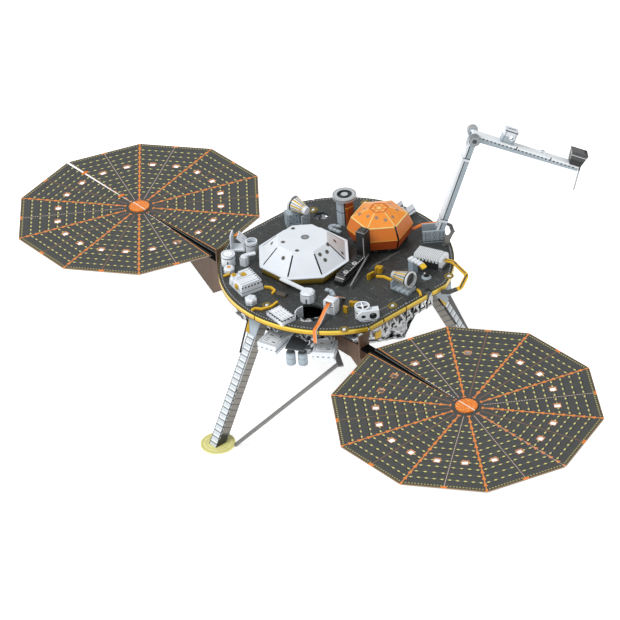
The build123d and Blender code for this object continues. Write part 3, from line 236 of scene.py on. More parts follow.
@dataclass(frozen=True)
class Sheet:
    """Thin rolled steel sheet with a printed or enamelled face.

    The print gives a satin face with a faint mottle and the fine grain of the rolled steel under it.
    """

    name: str
    slot: str
    colour: str
    shade: str
    roughness: float = 0.42
    metallic: float = 0.0
    mottle_mm: float = 2.5
    specular: float = 0.5
    facets_per_mm: float = 0.0
    # Share of the crumpled facets inked dark, as painted reflection of the dark surround
    dark_facets: float = 0.36
    # Real roller grain is about 0.02 mm, which is too fine to show, so it is drawn ten times coarser
    grain_mm: float = 0.22
    grain_spread: float = 0.08
    bump: float = 0.12
    bump_mm: float = 0.02

    def start(self, name: str) -> Face:
        """Make a face with the sheet's grain, mottled ground colour and, if it is crumpled, facets inked dark
        as painted reflection.

        Args:
            name: What the sheet is on.

        Returns:
            The face to print on.
        """
        material = bpy.data.materials.new(f"{self.name}_{name}")
        material.use_nodes = True
        tree = material.node_tree
        add = partial(node, tree)
        shader = tree.nodes["Principled BSDF"].inputs
        shader["Metallic"].default_value = self.metallic
        shader["Specular IOR Level"].default_value = self.specular
        coords = add("TexCoord").node.outputs["Object"]
        mottle = add("TexNoise", {"Vector": coords, "Scale": 1 / (self.mottle_mm * MM), "Detail": 3.0})
        ground = add("Mix", (mottle, linear(self.colour), linear(self.shade)), data_type="RGBA")
        grain = add("TexNoise", {"Vector": coords, "Scale": 1 / (self.grain_mm * MM), "Detail": 2.0})
        low, high = self.roughness - self.grain_spread, self.roughness + self.grain_spread
        tree.links.new(add("MapRange", {"Value": grain, "To Min": low, "To Max": high}), shader["Roughness"])
        bump = {"Height": grain, "Strength": self.bump, "Distance": self.bump_mm * MM}
        tree.links.new(add("Bump", bump), shader["Normal"])
        face = Face(material, ground)
        if self.facets_per_mm:
            cells = {"Vector": WHOLE.point(tree), "Scale": self.facets_per_mm}
            facets = add("TexVoronoi", cells).node.outputs["Color"]
            # Painted reflection: a share of the facets is inked dark, for facets that mirror the dark
            face.ink("#3b3e41", (add("SeparateXYZ", (facets,)), 0.0, self.dark_facets))
        return face

    def printed(self, name: str, spot: Spot = WHOLE, *marks: Mark) -> Material:
        """Make the finish with marks laid over it.

        Args:
            name: What the sheet is on.
            spot: The axes of the marks.
            marks: The marks, lowest first.

        Returns:
            The material.
        """
        face = self.start(name)
        if marks:
            face.stamp(spot, *marks)
        return face.done()


CHARCOAL = Sheet("charcoal_print_on_steel", "panel_print", "#4a4c4a", "#3b3d3c", 0.52)
DECK_GREY = Sheet("dark_grey_print_on_steel", "deck_print", "#3f4242", "#2e3131", 0.44)
WHITE = Sheet("white_enamel_on_steel", "white_enamel", "#e6ebf1", "#dae1e9", 0.36)
GREY_BLUE = Sheet("grey_blue_enamel_on_steel", "grey_enamel", "#aebac2", "#9dabb4", 0.4)
PALE_GREY = Sheet("pale_grey_enamel_on_steel", "grey_enamel", "#c4c8cb", "#b0b5b9", 0.36)
BLACK = Sheet("black_print_on_steel", "black_print", "#1d1d1c", "#121212", 0.4)
MATT_BLACK = Sheet("matt_black_print_on_steel", "black_print", "#0a0a0a", "#060606", 0.8, specular=0.05)
GOLD = Sheet("gold_lacquer_on_steel", "gold_print", "#dcb32c", "#bd931c", 0.36, 0.25)
DULL_GOLD = Sheet("dull_gold_lacquer_on_steel", "gold_print", "#96802c", "#77641e", 0.4, 0.3)
ORANGE = Sheet("orange_print_on_steel", "orange_print", "#f0862a", "#e3741c", 0.4)
YELLOW = Sheet("yellow_print_on_steel", "yellow_print", "#eec12e", "#dcab22", 0.4)
BROWN = Sheet("brown_print_on_steel", "bronze_print", "#614834", "#533c2b", 0.55)
PAD = Sheet("pale_yellow_print_on_steel", "pad_print", "#e6e29a", "#dad486", 0.45)
# Bare steel: the rolled face mirrors the room softly, the etched one is duller, and crumpled foil mirrors now
# a lamp and now the dark
# On the foil, the dark half of its mottle and its dark facets are painted reflection
STEEL = Sheet("rolled_steel_sheet", "bare_steel", "#b9bab8", "#a1a2a0", 0.3, 0.85, 2.0)
BRACE_STEEL = Sheet("etched_steel_sheet", "bare_steel", "#8b8b89", "#787876", 0.45, 0.3)
FOIL = Sheet("crinkled_steel_foil", "foil_steel", "#dfe1e3", "#4c4f52", 0.22, 0.8, 0.8, facets_per_mm=1.2)
PALE_LINE = "#e9d88e"
INK = "#2b2c2d"
SOFT_INK = "#6d747a"
PAPER = "#f1f4f7"


def quads(rows: int, columns: int, loop: bool = False) -> np.ndarray:
    """Corner numbers of a grid's quads, joined round the columns, and round the rows too if loop is set."""
    i, j = np.meshgrid(np.arange(rows if loop else rows - 1), np.arange(columns), indexing="ij")
    below, beside = (i + 1) % rows, (j + 1) % columns
    corners = [i * columns + j, i * columns + beside, below * columns + beside, below * columns + j]
    return np.stack(corners, -1).reshape(-1, 4)


def repeated(faces: np.ndarray, count: int, step: int) -> list:
    """The faces again for each of a number of like blocks of vertices."""
    blocks = np.arange(count)[:, None, None] * step + np.asarray(faces)[None]
    return blocks.reshape(-1, len(faces[0])).tolist()


def bars(starts: Sequence, ends: Sequence, width: float, height: float, ups: Sequence) -> Surface:
    """Straight bars, each a rectangle carried from its start to its end.

    A corner is the start or the end, plus or minus half the width across, plus the height upwards or nothing.

    Args:
        starts: Start of each bar, on its lower face.
        ends: End of each bar, on its lower face.
        width: Width of the bars.
        height: Height of the bars along their up direction.
        ups: Up direction of all the bars, or of each one.

    Returns:
        The vertices and the faces of all the bars.
    """
    starts, ends = np.atleast_2d(starts).astype(float), np.atleast_2d(ends).astype(float)
    ups = np.broadcast_to(np.asarray(ups, float), starts.shape)
    run = (ends - starts) / np.linalg.norm(ends - starts, axis=1, keepdims=True)
    across = np.cross(ups, run)
    across /= np.linalg.norm(across, axis=1, keepdims=True)
    half = across * width / 2
    rise = np.cross(run, across) * height
    loop = np.stack([-half, half, half + rise, -half + rise], 1)
    points = np.concatenate([starts[:, None] + loop, ends[:, None] + loop], 1).reshape(-1, 3)
    block = [[3, 2, 1, 0], [4, 5, 6, 7], [1, 5, 4, 0], [2, 6, 5, 1], [3, 7, 6, 2], [0, 4, 7, 3]]
    return points, repeated(np.array(block), len(starts), 8)


def lathe(spots: Sequence[Spot], profile: Sequence, sides: int = 24, loop: bool = False) -> Surface:
    """Turn a profile of radius and height rows about the upright axis of each spot.

    A point at angle a is radius times cos a along, radius times sin a across, and height up.

    Args:
        spots: The axes.
        profile: Radius and height of each ring, up the outside first.
        sides: Flats round an axis.
        loop: Join the last ring to the first one; otherwise both ends get a flat cap.

    Returns:
        The vertices and the faces.
    """
    rows = np.asarray(profile, float)
    turn = np.linspace(0, 2 * pi, sides, endpoint=False)
    ring = np.stack([np.cos(turn), np.sin(turn), np.zeros(sides)], 1)
    local = (rows[:, None, :1] * ring[None] + rows[:, None, 1:] * np.array(UP)).reshape(-1, 3)
    faces = repeated(quads(len(rows), sides, loop), len(spots), len(local))
    if not loop:
        caps = np.array([np.arange(sides)[::-1], np.arange(sides) + len(local) - sides])
        faces += repeated(caps, len(spots), len(local))
    return np.concatenate([spot.world(local) for spot in spots]), faces


def tube(path: Sequence, radius: float, sides: int = 8) -> Surface:
    """Carry a small circle along a path, square to the path at each of its points.

    A point is the path's place plus radius times cos a sideways and radius times sin a upwards.

    Args:
        path: Points that the tube's centre follows.
        radius: The tube's radius.
        sides: Flats round the tube.

    Returns:
        The vertices and the faces, with closed ends.
    """
    line = np.asarray(path, float)
    run = np.gradient(line, axis=0)
    run /= np.linalg.norm(run, axis=1, keepdims=True)
    # Any fixed direction that no tube follows sets which way is sideways
    side = np.cross(run, (0.31, 0.22, 0.92))
    side /= np.linalg.norm(side, axis=1, keepdims=True)
    rise = np.cross(side, run)
    turn = np.linspace(0, 2 * pi, sides, endpoint=False)[None, :, None]
    points = line[:, None] + radius * (np.cos(turn) * side[:, None] + np.sin(turn) * rise[:, None])
    first = np.arange(sides)
    ends = [first.tolist(), (first + (len(line) - 1) * sides)[::-1].tolist()]
    return points.reshape(-1, 3), quads(len(line), sides)[:, ::-1].tolist() + ends


def add_object(name: str, data: bpy.types.ID) -> bpy.types.Object:
    """Put an object with its data into the scene."""
    thing = bpy.data.objects.new(name, data)
    bpy.context.scene.collection.objects.link(thing)
    return thing


def make_object(name: str, surface: Surface, material: Material, smooth: bool = False) -> bpy.types.Object:
    """Put a surface into the scene.

    Args:
        name: The object's name.
        surface: Vertices in millimetres and the corner numbers of each face.
        material: What it wears.
        smooth: Shade the surface as a curve.

    Returns:
        The object.
    """
    points, faces = surface
    mesh = bpy.data.meshes.new(name)
    mesh.from_pydata((np.asarray(points) * MM).tolist(), [], faces)
    mesh.materials.append(material)
    mesh.polygons.foreach_set("use_smooth", np.full(len(mesh.polygons), smooth))
    mesh.update()
    return add_object(name, mesh)


def make_piece(
    name: str,
    surface: Surface,
    sheet: Sheet,
    *layer: Spot | Mark,
    slot: str = "",
    body: str = "lander",
    smooth: bool = False,
) -> bpy.types.Object:
    """Put a surface into the scene as a piece that rides on a body.

    Args:
        name: The piece's name.
        surface: Vertices in millimetres and the corner numbers of each face.
        sheet: The finish that it wears.
        layer: A spot and the marks in its axes, if the piece has any.
        slot: Not used.
        body: The body that carries it.
        smooth: Shade the surface as a curve.

    Returns:
        The object.
    """
    piece = make_object(name, surface, sheet.printed(name, *layer), smooth)
    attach(piece, body)
    LOG.info("%s: %d faces on %s", name, len(piece.data.polygons), body)
    return piece


def wear(name: str, material: Material) -> None:
    """Put a material on a CAD node."""
    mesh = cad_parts[name].data
    mesh.materials.clear()
    mesh.materials.append(material)
    LOG.info("%s wears %s", name, material.name)


def dress(name: str, sheet: Sheet, *layer: Spot | Mark) -> None:
    """Give a CAD node a finish, with marks in the axes of a spot if it has any."""
    wear(name, sheet.printed(name, *layer))


@dataclass(frozen=True)
class Gores:
    """Distances within the equal wedges of a many-sided plate, with a corner on the spot's x axis."""

    radius: Socket
    out: Socket
    across: Socket
    beside: Socket
    angle: Socket
    height: Socket

    @classmethod
    def measure(cls, tree: Tree, spot: Spot, sides: int) -> "Gores":
        """Work out the distances at a point.

        With a the angle from a wedge's middle line, out is radius times cos a, across is radius times sin a,
        and beside is radius times the sine of the angle that is left to the wedge's edge.

        Args:
            tree: The material's node tree.
            spot: The plate's axes.
            sides: The number of wedges.

        Returns:
            The distances as sockets.
        """
        add = partial(node, tree)
        wedge = 2 * pi / sides
        x, y, z = add("SeparateXYZ", (spot.point(tree),)).node.outputs
        radius = add("Math.SQRT", (add("Math.ADD", [add("Math.POWER", (v, 2.0)) for v in (x, y)]),))
        angle = add("Math.ARCTAN2", (y, x))
        turned = add("Math.FLOORED_MODULO", (angle, wedge))
        tilt = add("Math.ABSOLUTE", (add("Math.SUBTRACT", (turned, wedge / 2)),))
        left = add("Math.SUBTRACT", (wedge / 2, tilt))
        waves = (("Math.COSINE", tilt), ("Math.SINE", tilt), ("Math.SINE", left))
        out, across, beside = (add("Math.MULTIPLY", (radius, add(wave, (a,)))) for wave, a in waves)
        return cls(radius, out, across, beside, angle, z)


class Side(Enum):
    """The model's two solar panels."""

    RIGHT = "right"
    LEFT = "left"


@dataclass
class SolarPanel:
    """One ten-sided solar panel with its hub, strut and bracket."""

    side: Side
    droop: float
    sweep: float
    sides: int = 10
    hinge: tuple[float, float, float] = (22.05, -12.5, 24.5)
    reach: float = 29.5
    radius: float = 27.0
    sheet: float = 0.3
    row_pitch: float = 1.9
    first_row: float = 5.0
    margin: float = 1.2
    window_row: float = 17.5
    window_across: float = 2.71
    window_half: float = 0.725
    dot_spacing: float = 5.0
    dot_half_length: float = 0.44
    dot_half_width: float = 0.23
    spoke_half_width: float = 0.11
    spoke_flare: float = 0.34
    slot_half_angle: float = 2.4
    slot_edge_angle: float = 0.5
    # Half the slot's width at the hub, and what it gains by the rim
    slot_half_width: float = 0.3
    slot_gain: float = 0.5
    # Start, end and pitch of the stitches beside the slot
    stitch_run: tuple[float, float, float] = (-12.0, -4.0, 0.72)
    stitch_length: float = 0.36
    stitch_section: tuple[float, float] = (0.16, 0.03)
    tab_places: tuple[float, float] = (6.6, 20.4)
    tab_length: float = 1.5
    tab_section: tuple[float, float] = (0.7, 0.1)
    fold_half_width: float = 0.065
    prick_half_pitch: float = 0.26
    tick_half_pitch: float = 0.31
    # Angles of the wedges whose fold is pricked with pale dots
    pricked: tuple[tuple[float, float], ...] = ((-72.0, 0.0), (36.0, 72.0), (144.0, 180.0))

    def spot(self) -> Spot:
        """The hub's centre on the panel's top face, with x along the wing."""
        mirror = np.array([1 if self.side is Side.RIGHT else -1, 1, 1])
        droop = radians(self.droop)
        level = heading(self.sweep) * mirror
        out = level * cos(droop) - np.multiply(UP, sin(droop))
        up = level * sin(droop) + np.multiply(UP, cos(droop))
        return Spot(self.hinge * mirror + out * self.reach + up * self.sheet, out, up)

    def print_cells(self) -> Material:
        """Charcoal print with orange spokes, rows of yellow cell marks each with a painted shadow beside it,
        fold lines and a tan rim.

        Rows lie at equal steps of out. A row has as many marks in half a wedge as its out over the spacing,
        and each is a diamond: its share along the row plus its share across the row is under 1. A spoke
        flares with the cube of the distance past the last row, like a chain of arrowheads.

        Returns:
            The material.
        """
        face = CHARCOAL.start(f"panel_{self.side.value}")
        add = partial(node, face.material.node_tree)
        gore = Gores.measure(face.material.node_tree, self.spot(), self.sides)
        apothem = self.radius * cos(pi / self.sides)
        step = add("Math.SUBTRACT", (gore.out, self.window_row - self.row_pitch / 2))
        rise = add("Math.FLOORED_MODULO", (step, self.row_pitch))
        off = add("Math.SUBTRACT", (rise, self.row_pitch / 2))
        off_row = add("Math.ABSOLUTE", (off,))
        row = add("Math.SUBTRACT", (gore.out, off))
        count = add("Math.ROUND", (add("Math.DIVIDE", (row, self.dot_spacing)),))
        half_row = add("Math.MULTIPLY", (row, tan(pi / self.sides)))
        width = add("Math.DIVIDE", (half_row, add("Math.MAXIMUM", (count, 1.0))))
        slip = add("Math.FLOORED_MODULO", (add("Math.DIVIDE", (gore.across, width)), 1.0))
        slip = add("Math.ABSOLUTE", (add("Math.SUBTRACT", (slip, 0.5)),))
        slip = add("Math.MULTIPLY", (slip, width))
        shares = ((off_row, self.dot_half_width), (slip, self.dot_half_length))
        share = add("Math.ADD", [add("Math.DIVIDE", pair) for pair in shares])
        flare = add("Math.POWER", (add("Math.DIVIDE", (rise, self.row_pitch)), 3.0))
        flare = add("Math.MULTIPLY_ADD", (flare, self.spoke_flare, self.spoke_half_width))
        spoke = add("Math.SUBTRACT", (gore.beside, flare))
        prick = add("Math.PINGPONG", (gore.out, self.prick_half_pitch))
        tick = add("Math.PINGPONG", (gore.across, self.tick_half_pitch))
        turned = add("Math.ABSOLUTE", (gore.angle,))
        cells = (gore.out, self.first_row, apothem - self.margin)
        fold = ((gore.across, 0.0, self.fold_half_width), (gore.out, 3.2, FAR))
        # The angle ends at pi, so 4.0 leaves it without an upper limit
        slot = pi - radians(self.slot_half_angle)
        slot_edge = slot - radians(self.slot_edge_angle)
        face.ink("#8d8f7c", (off_row, 0.0, 0.07), cells, cover=0.22)
        # Painted shadow: a dark dash just outside each cell mark along its row
        face.ink("#1d2021", (off, 0.2, 0.42), (slip, 0.0, 0.4), cells)
        face.ink("#d3cb7c", (share, 0.0, 1.0), cells)
        face.ink("#bfb465", (tick, 0.0, 0.14), (gore.out, apothem - 0.72, apothem - 0.46))
        face.ink("#92703f", (gore.out, apothem - 0.15, FAR))
        face.ink("#96674a", *fold)
        for low, high in self.pricked:
            face.ink("#e4d9d0", *fold, (prick, 0.0, 0.13), (gore.angle, radians(low), radians(high)))
        face.ink("#e58a3f", (spoke, -FAR, 0.0), (gore.out, 2.9, FAR))
        face.ink("#e9812e", (gore.across, 0.0, 0.6), (gore.out, apothem - 0.5, FAR))
        face.ink("#d08a4a", (turned, slot_edge, 4.0), (gore.out, self.first_row, FAR))
        # Black along the slot: partly the black strut seen through it, partly painted shadow
        face.ink("#0a0a0a", (turned, slot, 4.0))
        places = ((gore.out, self.window_row), (gore.across, self.window_across))
        face.ink("#d08650", *((way, at - self.window_half, at + self.window_half) for way, at in places))
        face.ink("#a9aaa8", (gore.height, -FAR, -self.sheet / 2))
        return face.done()

    def print_hub(self) -> Material:
        """Orange print with fine yellow specks and a pale seam across it."""
        face = ORANGE.start(f"panel_hub_{self.side.value}")
        tree = face.material.node_tree
        # Specks of about 0.4 mm
        specks = node(tree, "TexVoronoi", {"Vector": self.spot().point(tree), "Scale": 2.6})
        face.ink("#f7bb6b", (specks, 0.0, 0.32))
        face.stamp(self.spot(), Mark("#f5eee6", y=(0, 0.1)))
        return face.done()

    def strips(self, name: str, starts: np.ndarray, step: Vec, section: Vec, sheet: Sheet) -> None:
        """Add flat strips on the panel's face.

        Args:
            name: The piece's name before the side.
            starts: Where the strips start, in the panel's axes.
            step: From each start to the strip's end.
            section: The strips' width and height.
            sheet: Their finish.
        """
        spot = self.spot()
        surface = bars(spot.world(starts), spot.world(starts + np.array(step)), *section, spot.axes()[2])
        make_piece(f"{name}_{self.side.value}", surface, sheet)

    def build(self) -> None:
        """Dress the panel's nodes, and add pale stitches along the slot and tabs across the left seam."""
        side = self.side.value
        wear(f"panel_{side}", self.print_cells())
        wear(f"panel_hub_{side}", self.print_hub())
        dress(f"panel_strut_{side}", MATT_BLACK)
        dress(f"panel_bracket_{side}", BROWN, self.spot(), Mark("#4b3526", x=(-22.0, 0.12, 3.1)))
        along = np.arange(*self.stitch_run)
        beside = self.slot_half_width + np.abs(along) * self.slot_gain / self.radius
        stitches = np.stack([along, beside, np.zeros_like(along)], 1)
        self.strips("slot_stitches", stitches, (self.stitch_length, 0.0, 0.0), self.stitch_section, WHITE)
        if self.side is Side.LEFT:
            tabs = np.array([[at, -self.tab_length / 2, 0.0] for at in self.tab_places])
            self.strips("seam_tabs", tabs, (0.0, self.tab_length, 0.0), self.tab_section, ORANGE)


@dataclass
class Deck:
    """The round deck with its rim, screws, edge stitches and the crinkled body under it."""

    screw_places: tuple[tuple[float, float], ...] = (
        (1.5, -20.1),
        (19.1, -14.8),
        (20.0, -2.5),
        (20.5, 12.6),
        (-17.9, 9.5),
        (-12.0, 18.9),
    )
    plate: tuple[float, float] = (5.6, 4.7)
    stitch_inset: float = 0.3
    stitch_pitch: float = 0.66
    stitch_length: float = 0.3
    stitch_section: tuple[float, float] = (0.15, 0.04)
    edge_samples: int = 3000
    notch_y: float = 5.9
    notch_radius: float = 1.6
    body_radius: float = 20.4
    # The body's corner at the front left stands out past the others
    corner_sizes: tuple[float, ...] = (1.0, 1.0, 1.0, 1.0, 1.07, 1.0)
    body_top: float = 27.6
    body_bottom: float = 19.0
    body_columns: int = 240
    wall_rows: int = 22
    floor_rows: int = 34
    floor_sizes: tuple[float, float] = (0.985, 0.03)
    foil_thickness: float = 0.2
    crease_depth: float = 0.75
    crease_cell: float = 2.2
    crease_count: int = 330
    crease_seed: int = 5
    # Innermost rings of the floor, which hold none of the points that the creases start from
    plain_rings: int = 10
    port: tuple[float, float] = (9.7, -15.9)
    lining_columns: int = 18
    lining_angles: tuple[float, float] = (166.0, 222.0)
    # Radius and level of the lining's four long edges
    lining_edges: tuple[Vec, ...] = ((2.75, -2.6), (3.0, -2.6), (3.0, -0.02), (2.75, -0.02))

    def print_deck(self) -> Material:
        """Dark grey print with etched plate lines, small slots, pale painted glints and dark specks."""
        face = DECK_GREY.start("deck")
        tree = face.material.node_tree
        line, seam = "#252727", "#565a5a"
        long, wide = self.plate
        skin = (0, 0.2)
        face.stamp(
            on_deck(),
            Mark(line, x=(0, 0.06, long), z=skin),
            Mark(line, y=(2.0, 0.06, wide), z=skin),
            Mark(seam, (6.9, 0.2, long), (3.4, 0.5, wide), skin),
            Mark(seam, (3.0, 0.7, long), (5.5, 0.1, wide), skin),
            Mark(line, (4.1, 0.25, long), (6.7, 0.25, wide), (0, 0.25), Outline.OVAL),
            Mark("#77776f", (19.2, 0.1), (-3.4, 4.6), skin),
            Mark("#8b8b84", (6.5, 0.08), (8.2, 4.2), skin),
        )
        # Specks of about 0.3 mm: the pale ones are painted glints, the dark ones a darker tone at random
        glints_and_specks = node(tree, "TexNoise", {"Vector": WHOLE.point(tree), "Scale": 3.2, "Detail": 3.0})
        face.ink("#6a6e6e", (glints_and_specks, 0.66, 2.0))
        face.ink("#1f2121", (glints_and_specks, -1.0, 0.36))
        return face.done()

    def edge(self, inset: float) -> np.ndarray:
        """Points round the deck's edge at equal steps: a circle cut by two straight sides.

        At angle a the edge is the circle's radius or the half width over cos a, whichever is less.

        Args:
            inset: Distance in from the edge.

        Returns:
            One row for each step of the stitches.
        """
        turn = np.linspace(0, 2 * pi, self.edge_samples)
        # Under 0.1 the straight side lies far outside the circle, so the bound only keeps the division sound
        straight = (DECK_HALF_WIDTH - inset) / np.maximum(np.abs(np.cos(turn)), 0.1)
        radius = np.minimum(DECK_RADIUS - inset, straight)
        line = np.stack([radius * np.cos(turn), radius * np.sin(turn)], 1)
        run = np.concatenate([[0], np.cumsum(np.linalg.norm(np.diff(line, axis=0), axis=1))])
        steps = np.arange(0, run[-1], self.stitch_pitch)
        return np.stack([np.interp(steps, run, line[:, 0]), np.interp(steps, run, line[:, 1])], 1)

    def stitches(self) -> None:
        """Pale ticks along the deck's edge, each pointing to the next step, with none at the notch."""
        line = self.edge(self.stitch_inset)
        ahead = np.roll(line, -1, axis=0) - line
        ahead *= self.stitch_length / np.linalg.norm(ahead, axis=1, keepdims=True)
        free = np.hypot(line[:, 0] - DECK_HALF_WIDTH, line[:, 1] - self.notch_y) > self.notch_radius
        level = np.full((free.sum(), 1), DECK_TOP)
        starts, ends = (np.hstack([points[free], level]) for points in (line, line + ahead))
        surface = bars(starts, ends, *self.stitch_section, UP)
        make_piece("deck_stitches", surface, PALE_GREY, slot="white_enamel")

    def screws(self) -> None:
        """Gold rings with a pale button in each."""
        spots = [on_deck(x, y) for x, y in self.screw_places]
        ring = ((0.55, 0.0), (1.0, 0.0), (1.0, 0.1), (0.9, 0.17), (0.65, 0.17), (0.55, 0.1))
        button = ((0.36, 0.0), (0.36, 0.13), (0.25, 0.19), (0.08, 0.2))
        make_piece("deck_screw_rings", lathe(spots, ring, loop=True), DULL_GOLD)
        make_piece("deck_screw_buttons", lathe(spots, button, 16), WHITE)

    def foil_body(self) -> None:
        """Crumpled foil tub that takes the place of the plain one.

        A hexagon's outline is carried down the wall and then shrinks to the middle of the floor. Each point
        moves in by the crease depth times its distance to the nearest of a seeded set of points, over the
        cell size, up to the full depth.
        """
        columns, wall, floor = self.body_columns, self.wall_rows, self.floor_rows
        around = np.linspace(0, 6, columns, endpoint=False)
        corner, share = np.floor(around).astype(int), (around % 1)[:, None]
        corners = np.array([heading(60 * i, size)[:2] for i, size in enumerate(self.corner_sizes)])
        outline = corners[corner] * (1 - share) + corners[(corner + 1) % 6] * share
        size = np.concatenate([np.ones(wall), np.linspace(*self.floor_sizes, floor)])[:, None, None]
        fall = np.concatenate([np.linspace(0, 1, wall), np.ones(floor)])[:, None]
        level = self.body_top + (self.body_bottom - self.body_top) * fall * np.ones((1, columns))
        points = np.concatenate([outline[None] * size * self.body_radius, level[..., None]], -1)
        random = np.random.default_rng(self.crease_seed)
        creased = points[: -self.plain_rings].reshape(-1, 3)
        chosen = random.choice(creased, self.crease_count, replace=False)
        gap = np.min(np.linalg.norm(points[:, :, None] - chosen[None, None], axis=-1), axis=-1)
        depth = self.crease_depth * np.minimum(gap / self.crease_cell, 1)
        depth[0] = 0
        inward = -outline / np.linalg.norm(outline, axis=1, keepdims=True)
        inward = np.hstack([inward, np.zeros((columns, 1))])
        moves = ((inward, wall), (UP, floor))
        move = np.concatenate([np.broadcast_to(way, (rows, columns, 3)) for way, rows in moves])
        points = (points + move * depth[..., None]).reshape(-1, 3)
        middle = np.arange(len(points) - columns, len(points))[::-1].tolist()
        faces = quads(wall + floor, columns)[:, ::-1].tolist() + [middle]
        tub = make_piece("foil_body", (points, faces), FOIL)
        skin = tub.modifiers.new("skin", "SOLIDIFY")
        skin.thickness = self.foil_thickness * MM
        skin.offset = -1.0
        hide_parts("lower_body")

    def port_lining(self) -> None:
        """White tab that hangs in the round port, part of a cylinder just inside its wall.

        A point at angle a is the port's centre plus the radius along a, at a level between the tab's ends.
        """
        count, edges = self.lining_columns, len(self.lining_edges)
        turn = np.radians(np.linspace(*self.lining_angles, count))
        radius, level = np.array(self.lining_edges).T[:, :, None]
        x, y = (at + radius * wave for at, wave in zip(self.port, (np.cos(turn), np.sin(turn))))
        points = np.stack([x, y, np.broadcast_to(DECK_TOP + level, x.shape)], -1).reshape(-1, 3)
        grid = quads(edges, count, True)
        # The quads that would join the last column to the first one are left out
        joined = grid[np.ptp(grid % count, axis=1) == 1]
        rows = np.arange(edges) * count
        faces = joined.tolist() + [rows.tolist(), (rows + count - 1)[::-1].tolist()]
        make_piece("port_lining", (points, faces), WHITE)

    def build(self) -> None:
        """Dress the deck's nodes and add its fittings, with a gold plate on the pipework's end."""
        wear("deck", self.print_deck())
        # Rim bands: a pale strip just under the top edge is a painted highlight; then a dark top face and a
        # dark strip near the bottom edge
        bands = (("#ead04e", -0.32, 0.2), ("#54481c", 0.0, 0.1), ("#4d3f12", -1.3, 0.2))
        dress("deck_rim", GOLD, on_deck(), *(Mark(shade, z=(at, half)) for shade, at, half in bands))
        self.stitches()
        self.screws()
        self.foil_body()
        self.port_lining()
        make_piece("side_plate", bars([21.1, -8.6, 24.4], [21.1, -7.0, 24.4], 1.6, 0.2, (1, 0, 0)), GOLD)
        dress("pipework", STEEL, WHOLE, Mark("#3c3f41", y=(0, 0.25, 1.9)))


@dataclass
class WhiteDome:
    """The eight-sided white dome, the ring under it and the clamps that hold its lip."""

    x: float = -4.9
    y: float = -4.4
    turn: float = 28.0
    sides: int = 8
    slit_from: float = 5.4
    slit_to: float = 8.6
    crown: Vec = (-4.9, -3.74, 33.9)
    vents: tuple[Vec, ...] = (
        (-6.80, -8.08, 33.9),
        (-2.38, -8.12, 33.9),
        (-3.92, -10.63, 32.55),
        (1.06, -4.97, 32.99),
        (1.10, -3.11, 32.76),
        (2.07, -4.53, 31.90),
        (-1.23, 1.05, 32.30),
        (1.53, 0.61, 30.84),
        (0.16, -1.95, 33.61),
        (-9.09, -3.36, 33.9),
        (-9.8, -8.6, 32.4),
        (-8.0, 1.2, 33.0),
    )

    def enamel(self) -> Material:
        """White enamel with dark vents, a mark on the crown, long slits along the lower seams and a painted
        shadow under the lip.
        """
        face = WHITE.start("dome")
        gore = Gores.measure(face.material.node_tree, on_deck(self.x, self.y, self.turn), self.sides)
        slit = (gore.out, self.slit_from, self.slit_to)
        face.ink("#c3cad2", (gore.beside, 0.0, 0.06), (gore.out, 5.0, FAR))
        face.ink("#2f3235", (gore.beside, 0.0, 0.17), slit, (gore.height, 2.2, FAR))
        # Painted shadow: dark under the dome's lip
        face.ink("#3a3d40", (gore.height, -FAR, 1.78))
        for shade, radius in (("#b6b8ba", 0.5), ("#4f4e4b", 0.4)):
            face.stamp(WHOLE, *(oval(shade, place, radius) for place in self.vents))
        rings = (("#c3c6ca", 0.95), ("#6c6f72", 0.82), ("#8f9396", 0.45))
        face.stamp(WHOLE, *(oval(shade, self.crown, r, r, 0.2) for shade, r in rings))
        return face.done()

    def build(self) -> None:
        """Dress the dome, its ring and its clamps."""
        wear("dome", self.enamel())
        foot, lip = Mark("#3b3210", z=(0, 0.5)), Mark("#b99a34", z=(1.2, 0.22))
        dress("dome_ring", DULL_GOLD, on_deck(self.x, self.y), foot, lip)
        dress(
            "clamp_box",
            WHITE,
            on_deck(6.1, -13.0, 35.0),
            Mark(INK, x=(0, 0.16, 1.5, 1.2), z=(0.55, 0.5)),
            Mark(INK, y=(0, 0.14, 1.5, 1.2), z=(0.55, 0.5)),
            Mark(SOFT_INK, z=(1.85, 0.06)),
        )


